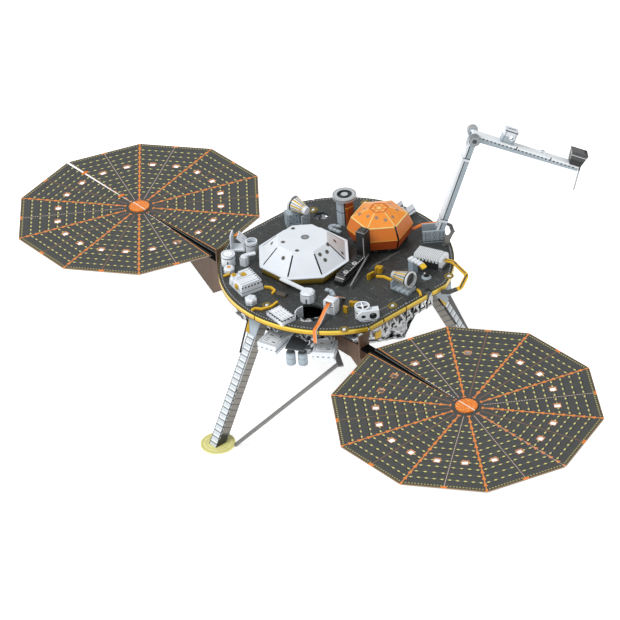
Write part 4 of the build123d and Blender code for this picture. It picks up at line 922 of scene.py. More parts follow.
@dataclass
class OrangeDome:
    """The six-sided orange dome, its black base and the strap that leaves it."""

    x: float = 0.7
    y: float = 11.8
    turn: float = -8.0
    sides: int = 6
    skirt_top: float = 3.6
    belt_top: float = 6.3
    crown_top: float = 8.0
    vents: tuple[Vec, ...] = (
        (-1.59, 8.40, 35.25),
        (0.69, 8.71, 35.59),
        (2.49, 9.45, 35.69),
        (4.07, 10.49, 35.38),
        (4.25, 12.33, 35.36),
        (-2.03, 10.20, 35.55),
        (-2.4, 13.0, 35.4),
        (0.2, 15.2, 35.3),
        (3.0, 14.6, 35.3),
    )

    def enamel(self) -> Material:
        """Orange print: bright crown, belt and a redder skirt, with pale seams and rings on the crown."""
        face = ORANGE.start("dome")
        tree = face.material.node_tree
        spot = on_deck(self.x, self.y, self.turn)
        gore = Gores.measure(tree, spot, self.sides)
        # Streaks of about 0.3 mm
        streaks = node(tree, "TexNoise", {"Vector": spot.point(tree), "Scale": 3.0, "Detail": 4.0})
        crown = (gore.height, self.belt_top - 0.04, FAR)
        flat_top = (gore.height, self.crown_top - 0.03, FAR)
        face.ink("#bf5118", (gore.height, -FAR, self.skirt_top))
        face.ink("#dd7820", (gore.height, self.skirt_top, self.belt_top))
        face.ink("#f09330", crown)
        face.ink("#d25f14", (streaks, 0.56, 2.0), cover=0.22)
        face.ink("#f7b25a", (streaks, -1.0, 0.4), crown, cover=0.28)
        face.ink("#e8b45c", (gore.height, self.skirt_top, FAR), (gore.beside, 0.0, 0.06))
        face.ink(PALE_LINE, crown, (gore.beside, 0.0, 0.09))
        face.ink(PALE_LINE, (gore.height, self.belt_top - 0.08, self.belt_top + 0.08))
        face.ink("#e6bd4e", (gore.height, self.skirt_top - 0.07, self.skirt_top + 0.07))
        face.ink("#cf6d1e", flat_top, (gore.out, 1.42, 1.82))
        face.ink("#d9792a", flat_top, (gore.radius, 0.63, 0.87))
        face.stamp(spot, Mark("#1f1a14", (5.0, 4.0), (0, 0.2), (3.8, 2.6)))
        for shade, radius in (("#c98a54", 0.44), ("#8f7c6a", 0.32)):
            face.stamp(WHOLE, *(oval(shade, place, radius) for place in self.vents))
        return face.done()

    def build(self) -> None:
        """Dress the dome, its base and its strap with a grey end."""
        wear("seismometer", self.enamel())
        feet = Mark("#4a4a47", (0, 0.3, 1.2), (0, 0.3, 1.2), (0.6, 0.25))
        dress("seismometer_base", BLACK, on_deck(self.x, self.y, self.turn), feet)
        dress("link_strap", ORANGE, on_deck(), Mark("#62625f", (11.0, 3.0), (21.5, 2.6)))


@dataclass
class HeatProbe:
    """The black post, the ribbed beam that leans on it and the rod in front."""

    post_x: float = 4.0
    post_y: float = 4.2
    turn: float = 106.4
    beam_top: float = 2.08
    beam_screws: tuple[tuple[float, float], ...] = ((6.59, -3.04), (5.53, 0.29))

    def build(self) -> None:
        """Dress the probe's nodes and add the beam's screws."""
        dress(
            "probe_post",
            BLACK,
            on_deck(self.post_x, self.post_y, self.turn),
            Mark("#0d0d0d", (-1.05, 0.06), (0.2, 0.5), (3.7, 2.7)),
            Mark("#a9aaa6", (-1.05, 0.06), (-0.72, 0.08), (3.7, 2.9)),
            Mark("#6f706d", z=(7.62, 0.07)),
            Mark("#3d3d3b", (0, 0.6), (0, 0.6), (7.9, 0.05)),
        )
        dress(
            "probe_beam",
            BLACK,
            on_deck(self.post_x, self.post_y, self.turn + 180),
            Mark("#34383a", (4.9, 4.8), (0, 0.75), (2.1, 0.06)),
            Mark("#dadbd8", (4.9, 0.16, 0.62, 4.4), (0.87, 0.1), (2.1, 0.12)),
            Mark("#b7b8b5", x=(9.35, 0.6), z=(1.55, 0.06)),
            Mark("#6e6f6c", (4.9, 4.8), (1.0, 0.06), (1.0, 0.06)),
        )
        dress("probe_rod", STEEL)
        spots = [on_deck(x, y, height=self.beam_top) for x, y in self.beam_screws]
        ring = ((0.26, 0.0), (0.55, 0.0), (0.55, 0.1), (0.47, 0.16), (0.26, 0.16))
        button = ((0.2, 0.0), (0.2, 0.12), (0.06, 0.14))
        make_piece("beam_screw_rings", lathe(spots, ring, 20, True), PALE_GREY)
        make_piece("beam_screw_buttons", lathe(spots, button, 12), DULL_GOLD)


@dataclass(frozen=True)
class Horn:
    """A striped horn from its tail to its mouth."""

    name: str
    sheet: Sheet
    tail: Vec
    mouth: Vec
    stripes: int = 9

    def spot(self, place: Vec) -> Spot:
        """A place on the horn, with z level along it."""
        return Spot(place, UP, np.subtract(self.mouth, self.tail))

    def finish(self) -> Material:
        """Pale cone with gold and dark stripes along it, a dark throat band and a pale mouth ring."""
        face = self.sheet.start(self.name)
        length = float(np.linalg.norm(np.subtract(self.mouth, self.tail)))
        gore = Gores.measure(face.material.node_tree, self.spot(self.tail), self.stripes)
        cone = (gore.height, length * 0.14, length - 0.8)
        face.ink("#d6ae38", cone, (gore.across, 0.0, 0.17))
        face.ink("#5d5a4e", cone, (gore.beside, 0.0, 0.08))
        face.ink("#33342f", (gore.height, length - 0.85, length - 0.5))
        face.ink("#dfe4e7", (gore.height, length - 0.5, length - 0.06))
        face.ink("#7f8588", (gore.height, length * 0.25 - 0.06, length * 0.25 + 0.06))
        return face.done()


@dataclass
class Antennas:
    """The drum antenna and the two striped horns with their brackets."""

    drum_x: float = -9.9
    drum_y: float = 11.6
    drum_sides: int = 8
    shank_top: float = 5.95
    flange: float = 6.2
    horns: tuple[Horn, ...] = (
        Horn("front_horn", PALE_GREY, (14.6, 2.7, 30.7), (19.2, 3.5, 31.2)),
        Horn("back_horn", WHITE, (-12.7, 3.6, 33.1), (-16.9, 3.3, 33.5)),
    )

    def drum_finish(self) -> Material:
        """Pale flange on a dark shank with a grey-blue and an orange panel, by the angle round it."""
        face = PALE_GREY.start("drum")
        gore = Gores.measure(face.material.node_tree, on_deck(self.drum_x, self.drum_y), self.drum_sides)
        shank = (gore.height, -FAR, self.shank_top)
        left = (gore.angle, radians(-141), radians(-49))
        right = (gore.angle, radians(-40), radians(24))
        flange = (gore.height, self.flange, FAR)
        face.ink("#34373a", shank)
        face.ink("#b4c2cd", shank, left)
        face.ink("#3c4145", shank, left, (gore.height, 3.0, 3.18))
        face.ink("#a85320", shank, right)
        face.ink("#e0b13e", shank, right, (gore.height, 4.08, 4.32))
        face.ink("#3a3d40", (gore.height, 6.26, 6.44))
        face.ink("#45484a", flange, (gore.radius, 1.33, 1.62))
        face.ink("#7c8083", (gore.height, 6.6, FAR), (gore.radius, 2.18, 2.3))
        face.ink("#55585a", flange, (gore.radius, 0.72, 0.86))
        return face.done()

    def build(self) -> None:
        """Dress the antennas and their brackets, with a shallow dark dish in each horn's mouth."""
        wear("drum_antenna", self.drum_finish())
        for horn in self.horns:
            wear(horn.name, horn.finish())
        dish = ((0.15, -0.62), (1.25, -0.55), (1.38, -0.42), (1.25, -0.36), (0.9, -0.42), (0.15, -0.3))
        make_piece("horn_throats", lathe([horn.spot(horn.mouth) for horn in self.horns], dish, 28), BLACK)
        line, hole = "#6f7c86", "#4c5660"
        dress(
            "back_horn_box",
            GREY_BLUE,
            on_deck(-17.0, 3.0, 66.0),
            Mark(line, z=(0.4, 0.05, 1.5)),
            Mark(line, x=(0, 0.05, 1.3), z=(1.9, 1.4)),
            Mark(hole, x=(0.65, 0.16, 1.3), z=(1.15, 0.16, 1.5)),
        )
        holes = Mark(hole, (0, 0.2, 1.2), (0, 0.2, 1.2), (0.3, 0.1), Outline.OVAL)
        dress("horn_bracket", GREY_BLUE, on_deck(17.2, 3.0, 10.0), Mark(line, x=(0, 0.06, 1.2)), holes)


@dataclass
class LeftCluster:
    """The cans, sensor block, gimbal, cables and connectors on the deck's left and front."""

    block_x: float = -6.6
    block_y: float = -18.6
    block_turn: float = -12.0

    def lugs(self) -> None:
        """Square gold lugs on the sensor block: drafted pegs with a chamfered top."""
        square = self.block_turn + 45
        along, out = heading(self.block_turn), heading(self.block_turn - 90)
        front = Spot((-6.6, -21.0, DECK_TOP + 1.15), along + UP, out)
        corner = on_deck(-8.82, -19.92, square, 1.58)
        peg = ((0.72, 0.0), (0.72, 0.18), (0.56, 0.36), (0.12, 0.38))
        tall = ((0.68, 0.0), (0.64, 0.95), (0.5, 1.12), (0.1, 1.14))
        make_piece("block_lugs", lathe((on_deck(-7.5, -18.4, square, 2.36), front), peg, 4), GOLD)
        make_piece("block_peg", lathe([corner], tall, 4), GOLD, corner, Mark("#e3e8ee", z=(0, 0.8)))

    def dress_block(self) -> None:
        """White sensor block with etched lines, pale windows and rows of square holes."""
        dress(
            "sensor_block",
            WHITE,
            on_deck(self.block_x, self.block_y, self.block_turn),
            Mark("#b9c2ca", (0, 0.3, 1.4, 2.6), (-2.4, 0.4), (0.9, 0.5)),
            Mark(SOFT_INK, x=(0, 0.05, 1.9), z=(2.4, 0.05)),
            Mark(SOFT_INK, x=(2.7, 0.4), z=(0.7, 0.06)),
            Mark("#b4bcc4", x=(2.6, 0.14), z=(2.4, 0.1)),
            Mark(INK, (0, 0.17, 0.72, 2.4), (2.0, 0.17), (2.4, 0.2)),
            Mark(INK, (2.62, 0.4), (0, 0.19, 0.72, 2.3), (1.75, 0.19)),
        )

    def dress_cans(self) -> None:
        """White cans with dark seams, and an orange cap on the small one."""
        dress(
            "canister",
            WHITE,
            on_deck(-15.4, -15.9),
            Mark(INK, z=(2.05, 0.09)),
            Mark(INK, (0, 0.11, 1.02), (0, 0.11, 1.02), (0.9, 0.55)),
            oval("#8d969d", (0, 0, 2.6), 1.12, 1.12, 0.1),
            oval(PAPER, (0, 0, 2.6), 1.0, 1.0, 0.2),
        )
        dress(
            "small_can",
            WHITE,
            on_deck(-13.2, -17.6, 20.0),
            Mark(INK, (0, 0.2, 0.9), (0, 0.2, 0.9), (0.35, 0.16)),
            oval("#d99a35", (0, 0, 1.2), 0.42, 0.42, 0.2),
        )
        ribs, seam = Mark("#c8d0d7", x=(0, 0.08, 0.8)), Mark(SOFT_INK, z=(0.4, 0.06))
        dress("sensor_pod", WHITE, on_deck(-1.5, -21.7, 30.0), ribs, seam)

    def dress_boxes(self) -> None:
        """White electronics box with a framed lid, and the gimbal with its dish."""
        dress(
            "electronics_box",
            WHITE,
            on_deck(6.9, -20.9, -4.0),
            Mark(INK, x=(0, 0.24, 0.78, 2.4), z=(0.95, 0.09)),
            Mark(INK, y=(0, 0.24, 0.78, 1.5), z=(0.95, 0.09)),
            Mark("#c2cad1", (0, 2.0), (0, 1.2), (1.1, 0.06)),
            Mark(PAPER, (0, 1.9), (0, 1.1), (1.1, 0.1)),
            Mark("#b5bec6", (0.5, 0.5, 1.3, 1.7), (0, 0.12, 0.6, 0.8), (1.1, 0.12)),
        )
        dress(
            "gimbal_base",
            WHITE,
            on_deck(-18.4, -10.6, 40.0),
            Mark(INK, (0, 0.14, 1.0), (0, 0.5), (1.6, 0.14, 1.1)),
            Mark(SOFT_INK, y=(0, 0.1, 0.8), z=(0.5, 0.1, 0.9)),
            Mark("#e58a2c", (-0.6, 0.5), (0, 0.5), (3.5, 0.25)),
        )
        dress(
            "gimbal_dish",
            WHITE,
            on_deck(-15.5, -9.5),
            Mark(INK, z=(1.9, 0.08)),
            oval("#9aa5ae", (0, 0, 2.6), 0.96, 0.96, 1.2),
            Mark(SOFT_INK, (0, 0.1, 0.8), (0, 0.1, 0.8), (0.8, 0.5)),
        )

    def build(self) -> None:
        """Dress the nodes of the cluster and add the lugs."""
        self.dress_block()
        self.lugs()
        self.dress_cans()
        self.dress_boxes()
        dress("cables", YELLOW, on_deck(), Mark("#a97d14", z=(0, 0.12)))
        dark, lines = Mark("#4d5052", (1.0, 1.6), (-15.8, 1.6)), Mark("#8a6a1b", x=(0, 0.06, 0.7))
        dress("connectors", GOLD, on_deck(), dark, lines)


@dataclass
class TetherCluster:
    """The tether box with its strap, the ring cluster and the hooks."""

    x: float = 12.7
    y: float = -12.4
    turn: float = -70.0

    def build(self) -> None:
        """Dress the nodes of the cluster."""
        spot = on_deck(self.x, self.y, self.turn)
        dress(
            "tether_box",
            WHITE,
            spot,
            Mark("#b3bdc6", y=(0, 0.08, 0.8), z=(0.9, 0.9)),
            Mark(INK, y=(0, 1.0), z=(1.92, 0.1)),
            Mark(INK, (-0.75, 0.12), (0, 0.9), (3.4, 0.1)),
            Mark(SOFT_INK, z=(3.1, 0.05)),
        )
        dress("tether_strap", ORANGE, spot, Mark("#c7c3bb", y=(0.36, 0.06)))
        rings = WHITE.start("ring_cluster")
        rings.stamp(
            on_deck(18.3, -9.1, 57.0),
            oval(INK, (0, 0, 2.6), 1.2, 1.2, 0.3),
            oval(PAPER, (0, 0, 2.6), 0.42, 0.42, 0.4),
            Mark(PAPER, (0, 1.25), (0, 0.16), (2.6, 0.4)),
            Mark(PAPER, (0, 0.16), (0, 1.25), (2.6, 0.4)),
            Mark(INK, (0, 1.8), (0, 1.2), (1.5, 0.12)),
            Mark(INK, (0, 0.3, 1.3), (0, 0.3, 1.3), (0.5, 0.3)),
        )
        rings.stamp(
            on_deck(20.3, -9.3, -33.0),
            oval(INK, (0, -1.0, 1.25), 0.9, 0.5, 0.36),
            oval(INK, (0, 0.95, 1.2), 0.9, 0.8, 0.8),
            oval("#b7c0c8", (0, 0.95, 1.2), 0.9, 0.42, 0.42),
            Mark(SOFT_INK, (0, 0.8), (0, 1.6), (0.25, 0.07)),
        )
        wear("ring_cluster", rings.done())
        dress("hook_bracket", GREY_BLUE, on_deck(turn=20.0), Mark("#5d676f", x=(0, 0.06, 0.9)))


@dataclass
class CoverCluster:
    """The ribbed cover with its cables, the latch, the ball sensor and the back bracket."""

    x: float = 14.6
    y: float = 13.2
    turn: float = 22.0
    cover_half_length: float = 3.15
    first_rib: float = -3.1
    cover_ribs: int = 14
    rib_pitch: float = 0.38
    rib_width: float = 0.2
    rib_rise: float = 0.07
    ball_radius: float = 0.62

    def cover(self) -> None:
        """Boxy cover with fine ribs, in place of the more arched one.

        A section with chamfered shoulders is carried along the cover, and grows by the rise at each rib.
        """
        section = np.array([[-1.75, 0], [1.75, 0], [1.75, 2.1], [1.35, 2.75], [-1.35, 2.75], [-1.75, 2.1]])
        outward = np.array([[-1, 0], [1, 0], [1, 0.4], [0.4, 1], [-0.4, 1], [-1, 0.4]])
        half, pitch, wide = self.cover_half_length, self.rib_pitch, self.rib_width
        ribs = np.arange(self.cover_ribs)[:, None] * pitch + self.first_rib + np.array([0, 0, wide, wide])
        along = np.concatenate([[-half], ribs.ravel(), [half]])
        rise = np.concatenate([[0], np.tile([0, 1, 1, 0], self.cover_ribs), [0]]) * self.rib_rise
        profile = section + outward * rise[:, None, None]
        stations = np.broadcast_to(along[:, None, None], (*profile.shape[:2], 1))
        points = np.concatenate([stations, profile], -1).reshape(-1, 3)
        first = np.arange(len(section))
        ends = [first[::-1].tolist(), (first + len(points) - len(section)).tolist()]
        spot = on_deck(self.x, self.y, self.turn)
        shell = make_piece(
            "cover_shell",
            (spot.world(points), quads(len(along), len(section)).tolist() + ends),
            PALE_GREY,
            spot,
            Mark("#dfe2e4", z=(2.75, 0.6)),
            Mark("#a4a9ac", x=(-2.81, 0.05, pitch, 5.1)),
            # Painted shadow: the side towards the camera is dark below the shoulder, as if hollow underneath
            Mark("#2c2e2f", (-0.4, 2.8), (-1.75, 0.3), (0.95, 1.05)),
            Mark("#f4f6f7", (-0.3, 0.24, 2 * pitch, 2.7), (-1.75, 0.3), (1.82, 0.2)),
            Mark("#d5dade", x=(2.85, 0.4)),
            Mark("#5b5f62", x=(2.85, 0.4), z=(0.3, 0.5)),
            Mark("#7b8186", x=(2.45, 0.06)),
        )
        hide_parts("ribbed_cover")

    def dress_cable(self) -> None:
        """Yellow cover cable with a dark gap along each of its runs and a dark end."""
        runs = (
            Spot((21.2, 15.02, 29.3), (4.13, -0.05, -1.3)),
            Spot((23.6, 13.8, 27.8), (0.6, -2.4, -1.6)),
            Spot((18.4, 14.72, 29.9), (1.6, 0.65, 0.0)),
        )
        face = YELLOW.start("cover_cable")
        for run in runs:
            face.stamp(run, Mark("#4a4a45", (0, 1.7), (0, 0.13), (0, 1.2)))
        face.stamp(on_deck(), Mark("#4b4c4a", (22.6, 3.0), (9.6, 2.2)))
        wear("cover_cable", face.done())

    def ball_sensor(self) -> None:
        """Black ball in a flared grey collar; the ball's profile is half a circle's sine and cosine."""
        spot = on_deck(17.4, 9.2)
        collar = ((0.62, 0.0), (1.05, 0.0), (0.8, 0.35), (0.66, 0.4), (0.55, 0.3))
        make_piece("ball_collar", lathe([spot], collar, 24, True), GREY_BLUE)
        turn = np.linspace(0.05, pi - 0.05, 14)
        ball = self.ball_radius * np.stack([np.sin(turn), 1 - np.cos(turn)], 1)
        glint = oval("#d8dbdd", (-0.1, -0.35, 1.0), 0.22, 0.2, 0.3)
        make_piece("ball_sensor", lathe([spot], ball, 24), BLACK, spot, glint, smooth=True)

    def build(self) -> None:
        """Dress the nodes of the cluster and add the cover and the ball sensor."""
        self.cover()
        self.dress_cable()
        dress(
            "latch_bracket",
            WHITE,
            on_deck(14.2, 8.5),
            Mark("#9fb0bd", (0, 0.9), (0, 0.9), (1.4, 1.5)),
            Mark("#edc22f", x=(3.3, 0.62), z=(3.0, 0.7)),
            Mark(SOFT_INK, x=(0.9, 0.05, 0.9), z=(3.3, 0.2)),
        )
        holes = Mark(INK, (0, 0.2, 1.1), (0, 0.25, 0.9), (1.1, 0.2, 0.9), Outline.OVAL)
        dress("back_bracket", WHITE, on_deck(-3.0, 21.8, 8.0), Mark(SOFT_INK, x=(0, 0.06, 1.1)), holes)
        self.ball_sensor()


@dataclass
class Underside:
    """The thermal boxes and nozzles under the deck."""

    box_top: float = 22.7
    # Place and heading of each box
    boxes: tuple[tuple[float, float, float], ...] = ((5.0, -22.07, 17.0), (14.62, -16.41, 39.0))

    def build(self) -> None:
        """Dress the boxes with framed, slotted lids, and the nozzles with rings."""
        skin = (0, 0.3)
        face = WHITE.start("thermal_boxes")
        for x, y, turn in self.boxes:
            face.stamp(
                Spot((x, y, self.box_top), heading(turn)),
                Mark("#aab4bc", (0, 1.8), (0, 1.9), (0, 0.05)),
                Mark(PAPER, (0, 1.66), (0, 1.76), (0, 0.1)),
                Mark(INK, (0.9, 0.42), (-1.0, 0.13), skin),
                Mark(INK, (-0.8, 0.42), (1.0, 0.13), skin),
                Mark(INK, (1.2, 0.13), (1.3, 0.36), skin),
                Mark(SOFT_INK, (-0.9, 0.5), (-0.6, 0.07, 0.5, 0.8), skin),
                Mark("#7f8991", (0, 0.24, 1.1, 2.3), (0, 2.6), (-1.1, 0.16)),
            )
        wear("thermal_boxes", face.done())
        rings, neck = Mark("#7d8a94", z=(18.3, 0.07, 1.1)), Mark("#45494c", z=(21.8, 1.1))
        dress("nozzles", GREY_BLUE, WHOLE, rings, neck)


@dataclass
class Leg:
    """One landing leg with its ladder print, head plate, brace and pad."""

    side: str
    turn: float
    foot_radius: float = 34.4
    top_radius: float = 18.8
    foot_level: float = 0.3
    top_level: float = 27.6
    half_width: float = 1.1
    half_depth: float = 1.25
    rung_pitch: float = 1.3

    def spot(self) -> Spot:
        """The leg's foot, with x up the leg and z out of its web."""
        foot = heading(self.turn, self.foot_radius) + np.multiply(UP, self.foot_level)
        top = heading(self.turn, self.top_radius) + np.multiply(UP, self.top_level)
        return Spot(foot, top - foot, heading(self.turn))

    def ladder(self) -> list[Mark]:
        """Rungs across the web and the cheeks, each with a painted highlight beside it on the web, with a
        dark ridge, a pale slit above and dashes below.
        """
        cheek, web, pitch = self.half_width, self.half_depth, self.rung_pitch
        marks = [Mark("#8d8880", y=(side * cheek, 0.05)) for side in (-1, 1)]
        marks.append(Mark("#c9d1d7", y=(0, cheek), z=(web, 0.05)))
        # Painted highlight: a pale band beside each etched rung, like the lit side of a louvre
        marks.append(Mark("#e1e7eb", (0.28, 0.2, pitch), (0, 0.85), (web, 0.06)))
        marks.append(Mark("#53575a", x=(0, 0.1, pitch)))
        for ridge in (-cheek, cheek):
            edge, slit = (ridge, 0.3), (web - 0.2, 0.09)
            marks.append(Mark("#3a3c3e", y=(ridge, 0.15), z=(web, 0.3)))
            marks.append(Mark(PAPER, (20.0, 7.5), edge, slit))
            marks.append(Mark("#c9cdd0", (6.5, 0.3, 1.0, 5.6), edge, slit))
            marks.append(Mark("#2f302f", (0.9, 1.5), (ridge, 0.1), (0, 1.0)))
        return marks

    def head_plate(self) -> None:
        """Grey-blue plate over the leg's top, a gold corner on it and a thin black rod beside it."""
        spot = self.spot()
        lift = self.half_depth
        start, end = spot.world([[24.2, 0.35, lift], [29.6, 0.35, lift]])
        make_piece(f"leg_head_{self.side}", bars(start, end, 3.3, 0.16, spot.axes()[2]), GREY_BLUE)
        low = np.array([[24.3, 1.95, lift + 0.15], [26.9, 1.95, lift + 0.15], [24.3, 0.4, lift + 0.15]])
        corner = spot.world(np.concatenate([low, low + np.array([0.0, 0.0, 0.09])]))
        faces = [[0, 1, 2], [5, 4, 3], [3, 4, 1, 0], [4, 5, 2, 1], [5, 3, 0, 2]]
        make_piece(f"leg_corner_{self.side}", (corner, faces), GOLD)
        rod = tube(spot.world([[19.6, 1.3, lift], [23.0, 1.65, lift + 0.1], [26.6, 2.0, lift + 0.2]]), 0.2)
        make_piece(f"leg_rod_{self.side}", rod, BLACK, smooth=True)

    def build(self) -> None:
        """Dress the leg, its ringed pad and its brace, and add the head plate."""
        dress(f"leg_{self.side}", GREY_BLUE, self.spot(), *self.ladder())
        foot = heading(self.turn, self.foot_radius)
        rings = (("#c9c374", 3.35), ("#e6e29a", 3.2), ("#cfc97c", 2.5), ("#e3de93", 2.38))
        marks = [oval(shade, (0, 0, 0), r, r, 1.2) for shade, r in rings]
        marks.append(Mark("#d3cc80", (0, 0.07, 1.6, 3.2), (0, 3.2), (0, 1.0)))
        dress(f"foot_pad_{self.side}", PAD, Spot(foot, heading(self.turn)), *marks)
        low = foot - heading(self.turn, 2.0) + heading(self.turn + 90, 3.2)
        hole = oval("#3a3a38", (low[0], low[1], 3.0), 0.45, 0.45, 0.35)
        dress(f"leg_brace_{self.side}", BRACE_STEEL, WHOLE, hole)
        self.head_plate()


@dataclass
class Arm:
    """The two-link arm: base, upper arm, elbow drums, forearm, camera and scoop."""

    turn: float = 52.0
    shoulder: Vec = (8.8, 20.7, 29.9)
    lean: float = 19.3
    upper_length: float = 24.0
    slope: float = -24.5
    forearm_length: float = 23.2
    root_half: float = 0.85
    tip_half: float = 0.6
    camera_along: float = 6.9
    rod_top: float = 42.0

    def side(self) -> np.ndarray:
        """Level direction out of the arm's front cheeks."""
        return heading(self.turn - 90)

    def upper_axis(self) -> np.ndarray:
        """Direction from the shoulder to the elbow."""
        return heading(self.turn, sin(radians(self.lean))) + np.multiply(UP, cos(radians(self.lean)))

    def elbow(self) -> np.ndarray:
        """The elbow pin's centre."""
        return self.shoulder + self.upper_axis() * self.upper_length

    def forearm_spot(self) -> Spot:
        """The root of the forearm's upper edge, with x along that edge, y up and z out of the front cheek."""
        slope = radians(self.slope)
        along = heading(self.turn, cos(slope)) + np.multiply(UP, sin(slope))
        up = np.cross(self.side(), along)
        edge = along * self.forearm_length + up * (self.tip_half - self.root_half)
        return Spot(self.elbow() + up * self.root_half, edge, self.side())

    def dress_upper(self) -> None:
        """Etched base, and an upper arm with a white edge, a dark seam and pale collars."""
        dress(
            "arm_base",
            GREY_BLUE,
            Spot(self.shoulder, heading(self.turn), self.side()),
            Mark("#66737d", (0, 0.06, 0.95), (-0.3, 1.2), (1.55, 0.1)),
            Mark("#56626b", (-1.0, 0.36, 1.5), (0.25, 0.36, 1.2), (1.55, 0.2), Outline.OVAL),
            Mark("#b3c0c9", (-1.0, 0.24, 1.5), (0.25, 0.24, 1.2), (1.55, 0.3), Outline.OVAL),
            Mark("#4f5a63", y=(-1.35, 0.12)),
        )
        dress(
            "upper_arm",
            GREY_BLUE,
            Spot(self.shoulder, self.upper_axis(), self.side()),
            Mark("#e4eaf0", (12.0, 11.5), (0.56, 0.3)),
            Mark("#303436", (11.2, 10.8), (0.23, 0.11)),
            Mark("#dfe5ea", x=(3.3, 0.32, 15.3, 16.5)),
            Mark("#4c545b", x=(3.65, 0.07, 15.3, 16.5)),
        )
        dress(
            "elbow_drums",
            PALE_GREY,
            Spot(self.elbow(), heading(self.turn), self.side()),
            Mark("#8b9094", z=(1.85, 0.68)),
            Mark("#34373a", z=(1.3, 0.07, 0.55)),
            oval("#9ea3a7", (0, 0, 2.5), 1.0, 1.0, 0.1),
            oval("#4a4e51", (0, 0, 2.5), 0.5, 0.5, 0.2),
        )

    def dress_forearm(self) -> None:
        """White upper band over a dotted fold, a white camera with a dark slit, and a dark scoop."""
        spot = self.forearm_spot()
        dress(
            "forearm",
            GREY_BLUE,
            spot,
            Mark("#ebf0f4", (11.6, 12.5), (0, 0.5)),
            Mark("#2f3336", (11.6, 0.2, 0.87, 11.2), (-0.6, 0.15)),
            *(Mark(INK, (at, 0.12), (-0.2, 0.55), (0.85, 0.2)) for at in (9.3, 16.9)),
        )
        middle = self.camera_along
        dress(
            "arm_camera",
            GREY_BLUE,
            spot,
            Mark("#dde3e9", y=(2.6, 0.9)),
            Mark("#33373a", y=(2.92, 0.13), z=(0.9, 0.5)),
            Mark("#33373a", (middle, 0.9), (3.15, 0.2), (0, 0.14)),
            Mark("#77838c", y=(0.35, 0.07), z=(0.85, 0.1)),
            Mark("#77838c", x=(middle - 1.1, 0.07, 2.2), z=(0.85, 0.1)),
        )
        scoop = BLACK.start("scoop")
        scoop.stamp(
            spot,
            Mark("#3f4243", y=(2.6, 1.2), z=(0.85, 0.6)),
            Mark("#c4c7c8", y=(2.3, 0.09)),
            Mark("#5a5d5e", (21.6, 1.5), (2.9, 0.2), (0, 0.9)),
        )
        scoop.stamp(WHOLE, Mark("#b4b8ba", z=(self.rod_top - 10, 10)))
        wear("scoop", scoop.done())

    def lens_ring(self) -> None:
        """Pale turned ring round the camera's lens hole."""
        spot = self.forearm_spot()
        along, _, out = spot.axes()
        centre = spot.world([self.camera_along + 0.47, 1.62, 0.85])
        ring = ((0.42, 0.0), (0.66, 0.0), (0.66, 0.1), (0.56, 0.16), (0.42, 0.12))
        make_piece("lens_ring", lathe([Spot(centre, along, out)], ring, 24, True), WHITE, body="forearm")

    def build(self) -> None:
        """Dress the arm's nodes and add the lens ring."""
        self.dress_upper()
        self.dress_forearm()
        self.lens_ring()


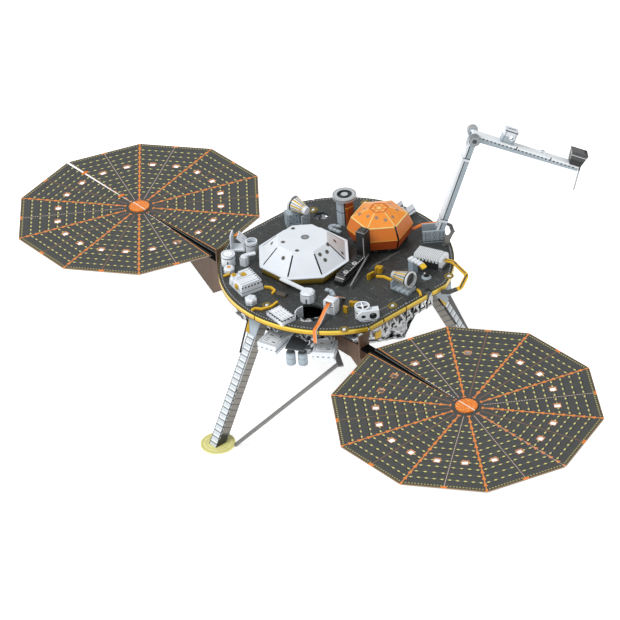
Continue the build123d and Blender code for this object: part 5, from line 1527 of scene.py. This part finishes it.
@dataclass
class Studio:
    """Plain pale floor, soft studio light and the camera at the photograph's angle."""

    target: Vec = (5.17, -11.93, 24.7)
    distance: float = 711.56
    azimuth: float = 51.0
    elevation: float = 35.0
    roll: float = -4.0
    focal_pixels: float = 3500.0
    sensor: float = 36.0
    floor_half: float = 2500.0
    floor_level: float = -0.02
    floor_glow: float = 0.6
    surround: float = 0.58
    lamp_size: float = 0.4
    lamp_power: float = 5.6
    lamp_place: Vec = (-0.1, -0.5, 0.85)
    lamp_target: Vec = (0.0, 0.0, 0.03)

    def camera(self) -> None:
        """Set the camera back from its target and rolled about its line of sight."""
        a, e, r = radians(self.azimuth), radians(self.elevation), radians(self.roll)
        back = Vector((sin(a) * cos(e), -cos(a) * cos(e), sin(e)))
        right = Vector((cos(a), sin(a), 0.0))
        up = back.cross(right)
        image_x = right * cos(r) + up * sin(r)
        image_y = up * cos(r) - right * sin(r)
        data = bpy.data.cameras.new("camera")
        data.sensor_width = self.sensor
        data.lens = self.focal_pixels / IMAGE_SIDE * self.sensor
        data.clip_start, data.clip_end = 0.01, 20.0
        camera = add_object("camera", data)
        place = (Vector(self.target) + back * self.distance) * MM
        turn = Matrix((image_x, image_y, back)).transposed().to_4x4()
        camera.matrix_world = Matrix.Translation(place) @ turn
        bpy.context.scene.camera = camera

    def floor(self) -> None:
        """A flat matt card just under the foot pads, lit a little from below like a light table."""
        material = bpy.data.materials.new("matt_white_card")
        material.use_nodes = True
        looks = {
            "Base Color": linear("#f4f4f4"),
            "Roughness": 0.9,
            "Specular IOR Level": 0.1,
            "Emission Color": linear("#ffffff"),
            "Emission Strength": self.floor_glow,
        }
        for name, value in looks.items():
            material.node_tree.nodes["Principled BSDF"].inputs[name].default_value = value
        corners = np.array([[-1, -1], [1, -1], [1, 1], [-1, 1]]) * self.floor_half
        points = np.hstack([corners, np.full((4, 1), self.floor_level)])
        floor = make_object("floor", (points, [[0, 1, 2, 3]]), material)

    def lights(self) -> None:
        """An even pale surround with one large soft lamp from the camera's left."""
        world = bpy.data.worlds.new("studio")
        world.use_nodes = True
        background = world.node_tree.nodes["Background"].inputs
        background["Color"].default_value = linear("#ffffff")
        background["Strength"].default_value = self.surround
        bpy.context.scene.world = world
        lamp = bpy.data.lights.new("soft_box", "AREA")
        lamp.size, lamp.energy = self.lamp_size, self.lamp_power
        holder = add_object("soft_box", lamp)
        holder.location = self.lamp_place
        holder.rotation_mode = "QUATERNION"
        holder.rotation_quaternion = (Vector(self.lamp_target) - holder.location).to_track_quat("-Z", "Y")

    def build(self) -> None:
        """Set up the stage, with plain colour that isn't graded."""
        bpy.context.scene.view_settings.view_transform = "Standard"
        self.camera()
        self.floor()
        self.lights()


def main() -> None:
    """Build the studio and every sub-assembly in order."""
    logging.basicConfig(level=logging.INFO, format="%(name)s %(message)s")
    Studio().build()
    SolarPanel(Side.RIGHT, 0.6, 0.9).build()
    SolarPanel(Side.LEFT, 2.7, 3.0).build()
    clusters = (HeatProbe, Antennas, LeftCluster, TetherCluster, CoverCluster)
    for assembly in (Deck, WhiteDome, OrangeDome, *clusters, Underside):
        assembly().build()
    for side, turn in (("front", -90.0), ("right", 30.0), ("left", 150.0)):
        Leg(side, turn).build()
    Arm().build()


if __name__ == "__main__":
    main()
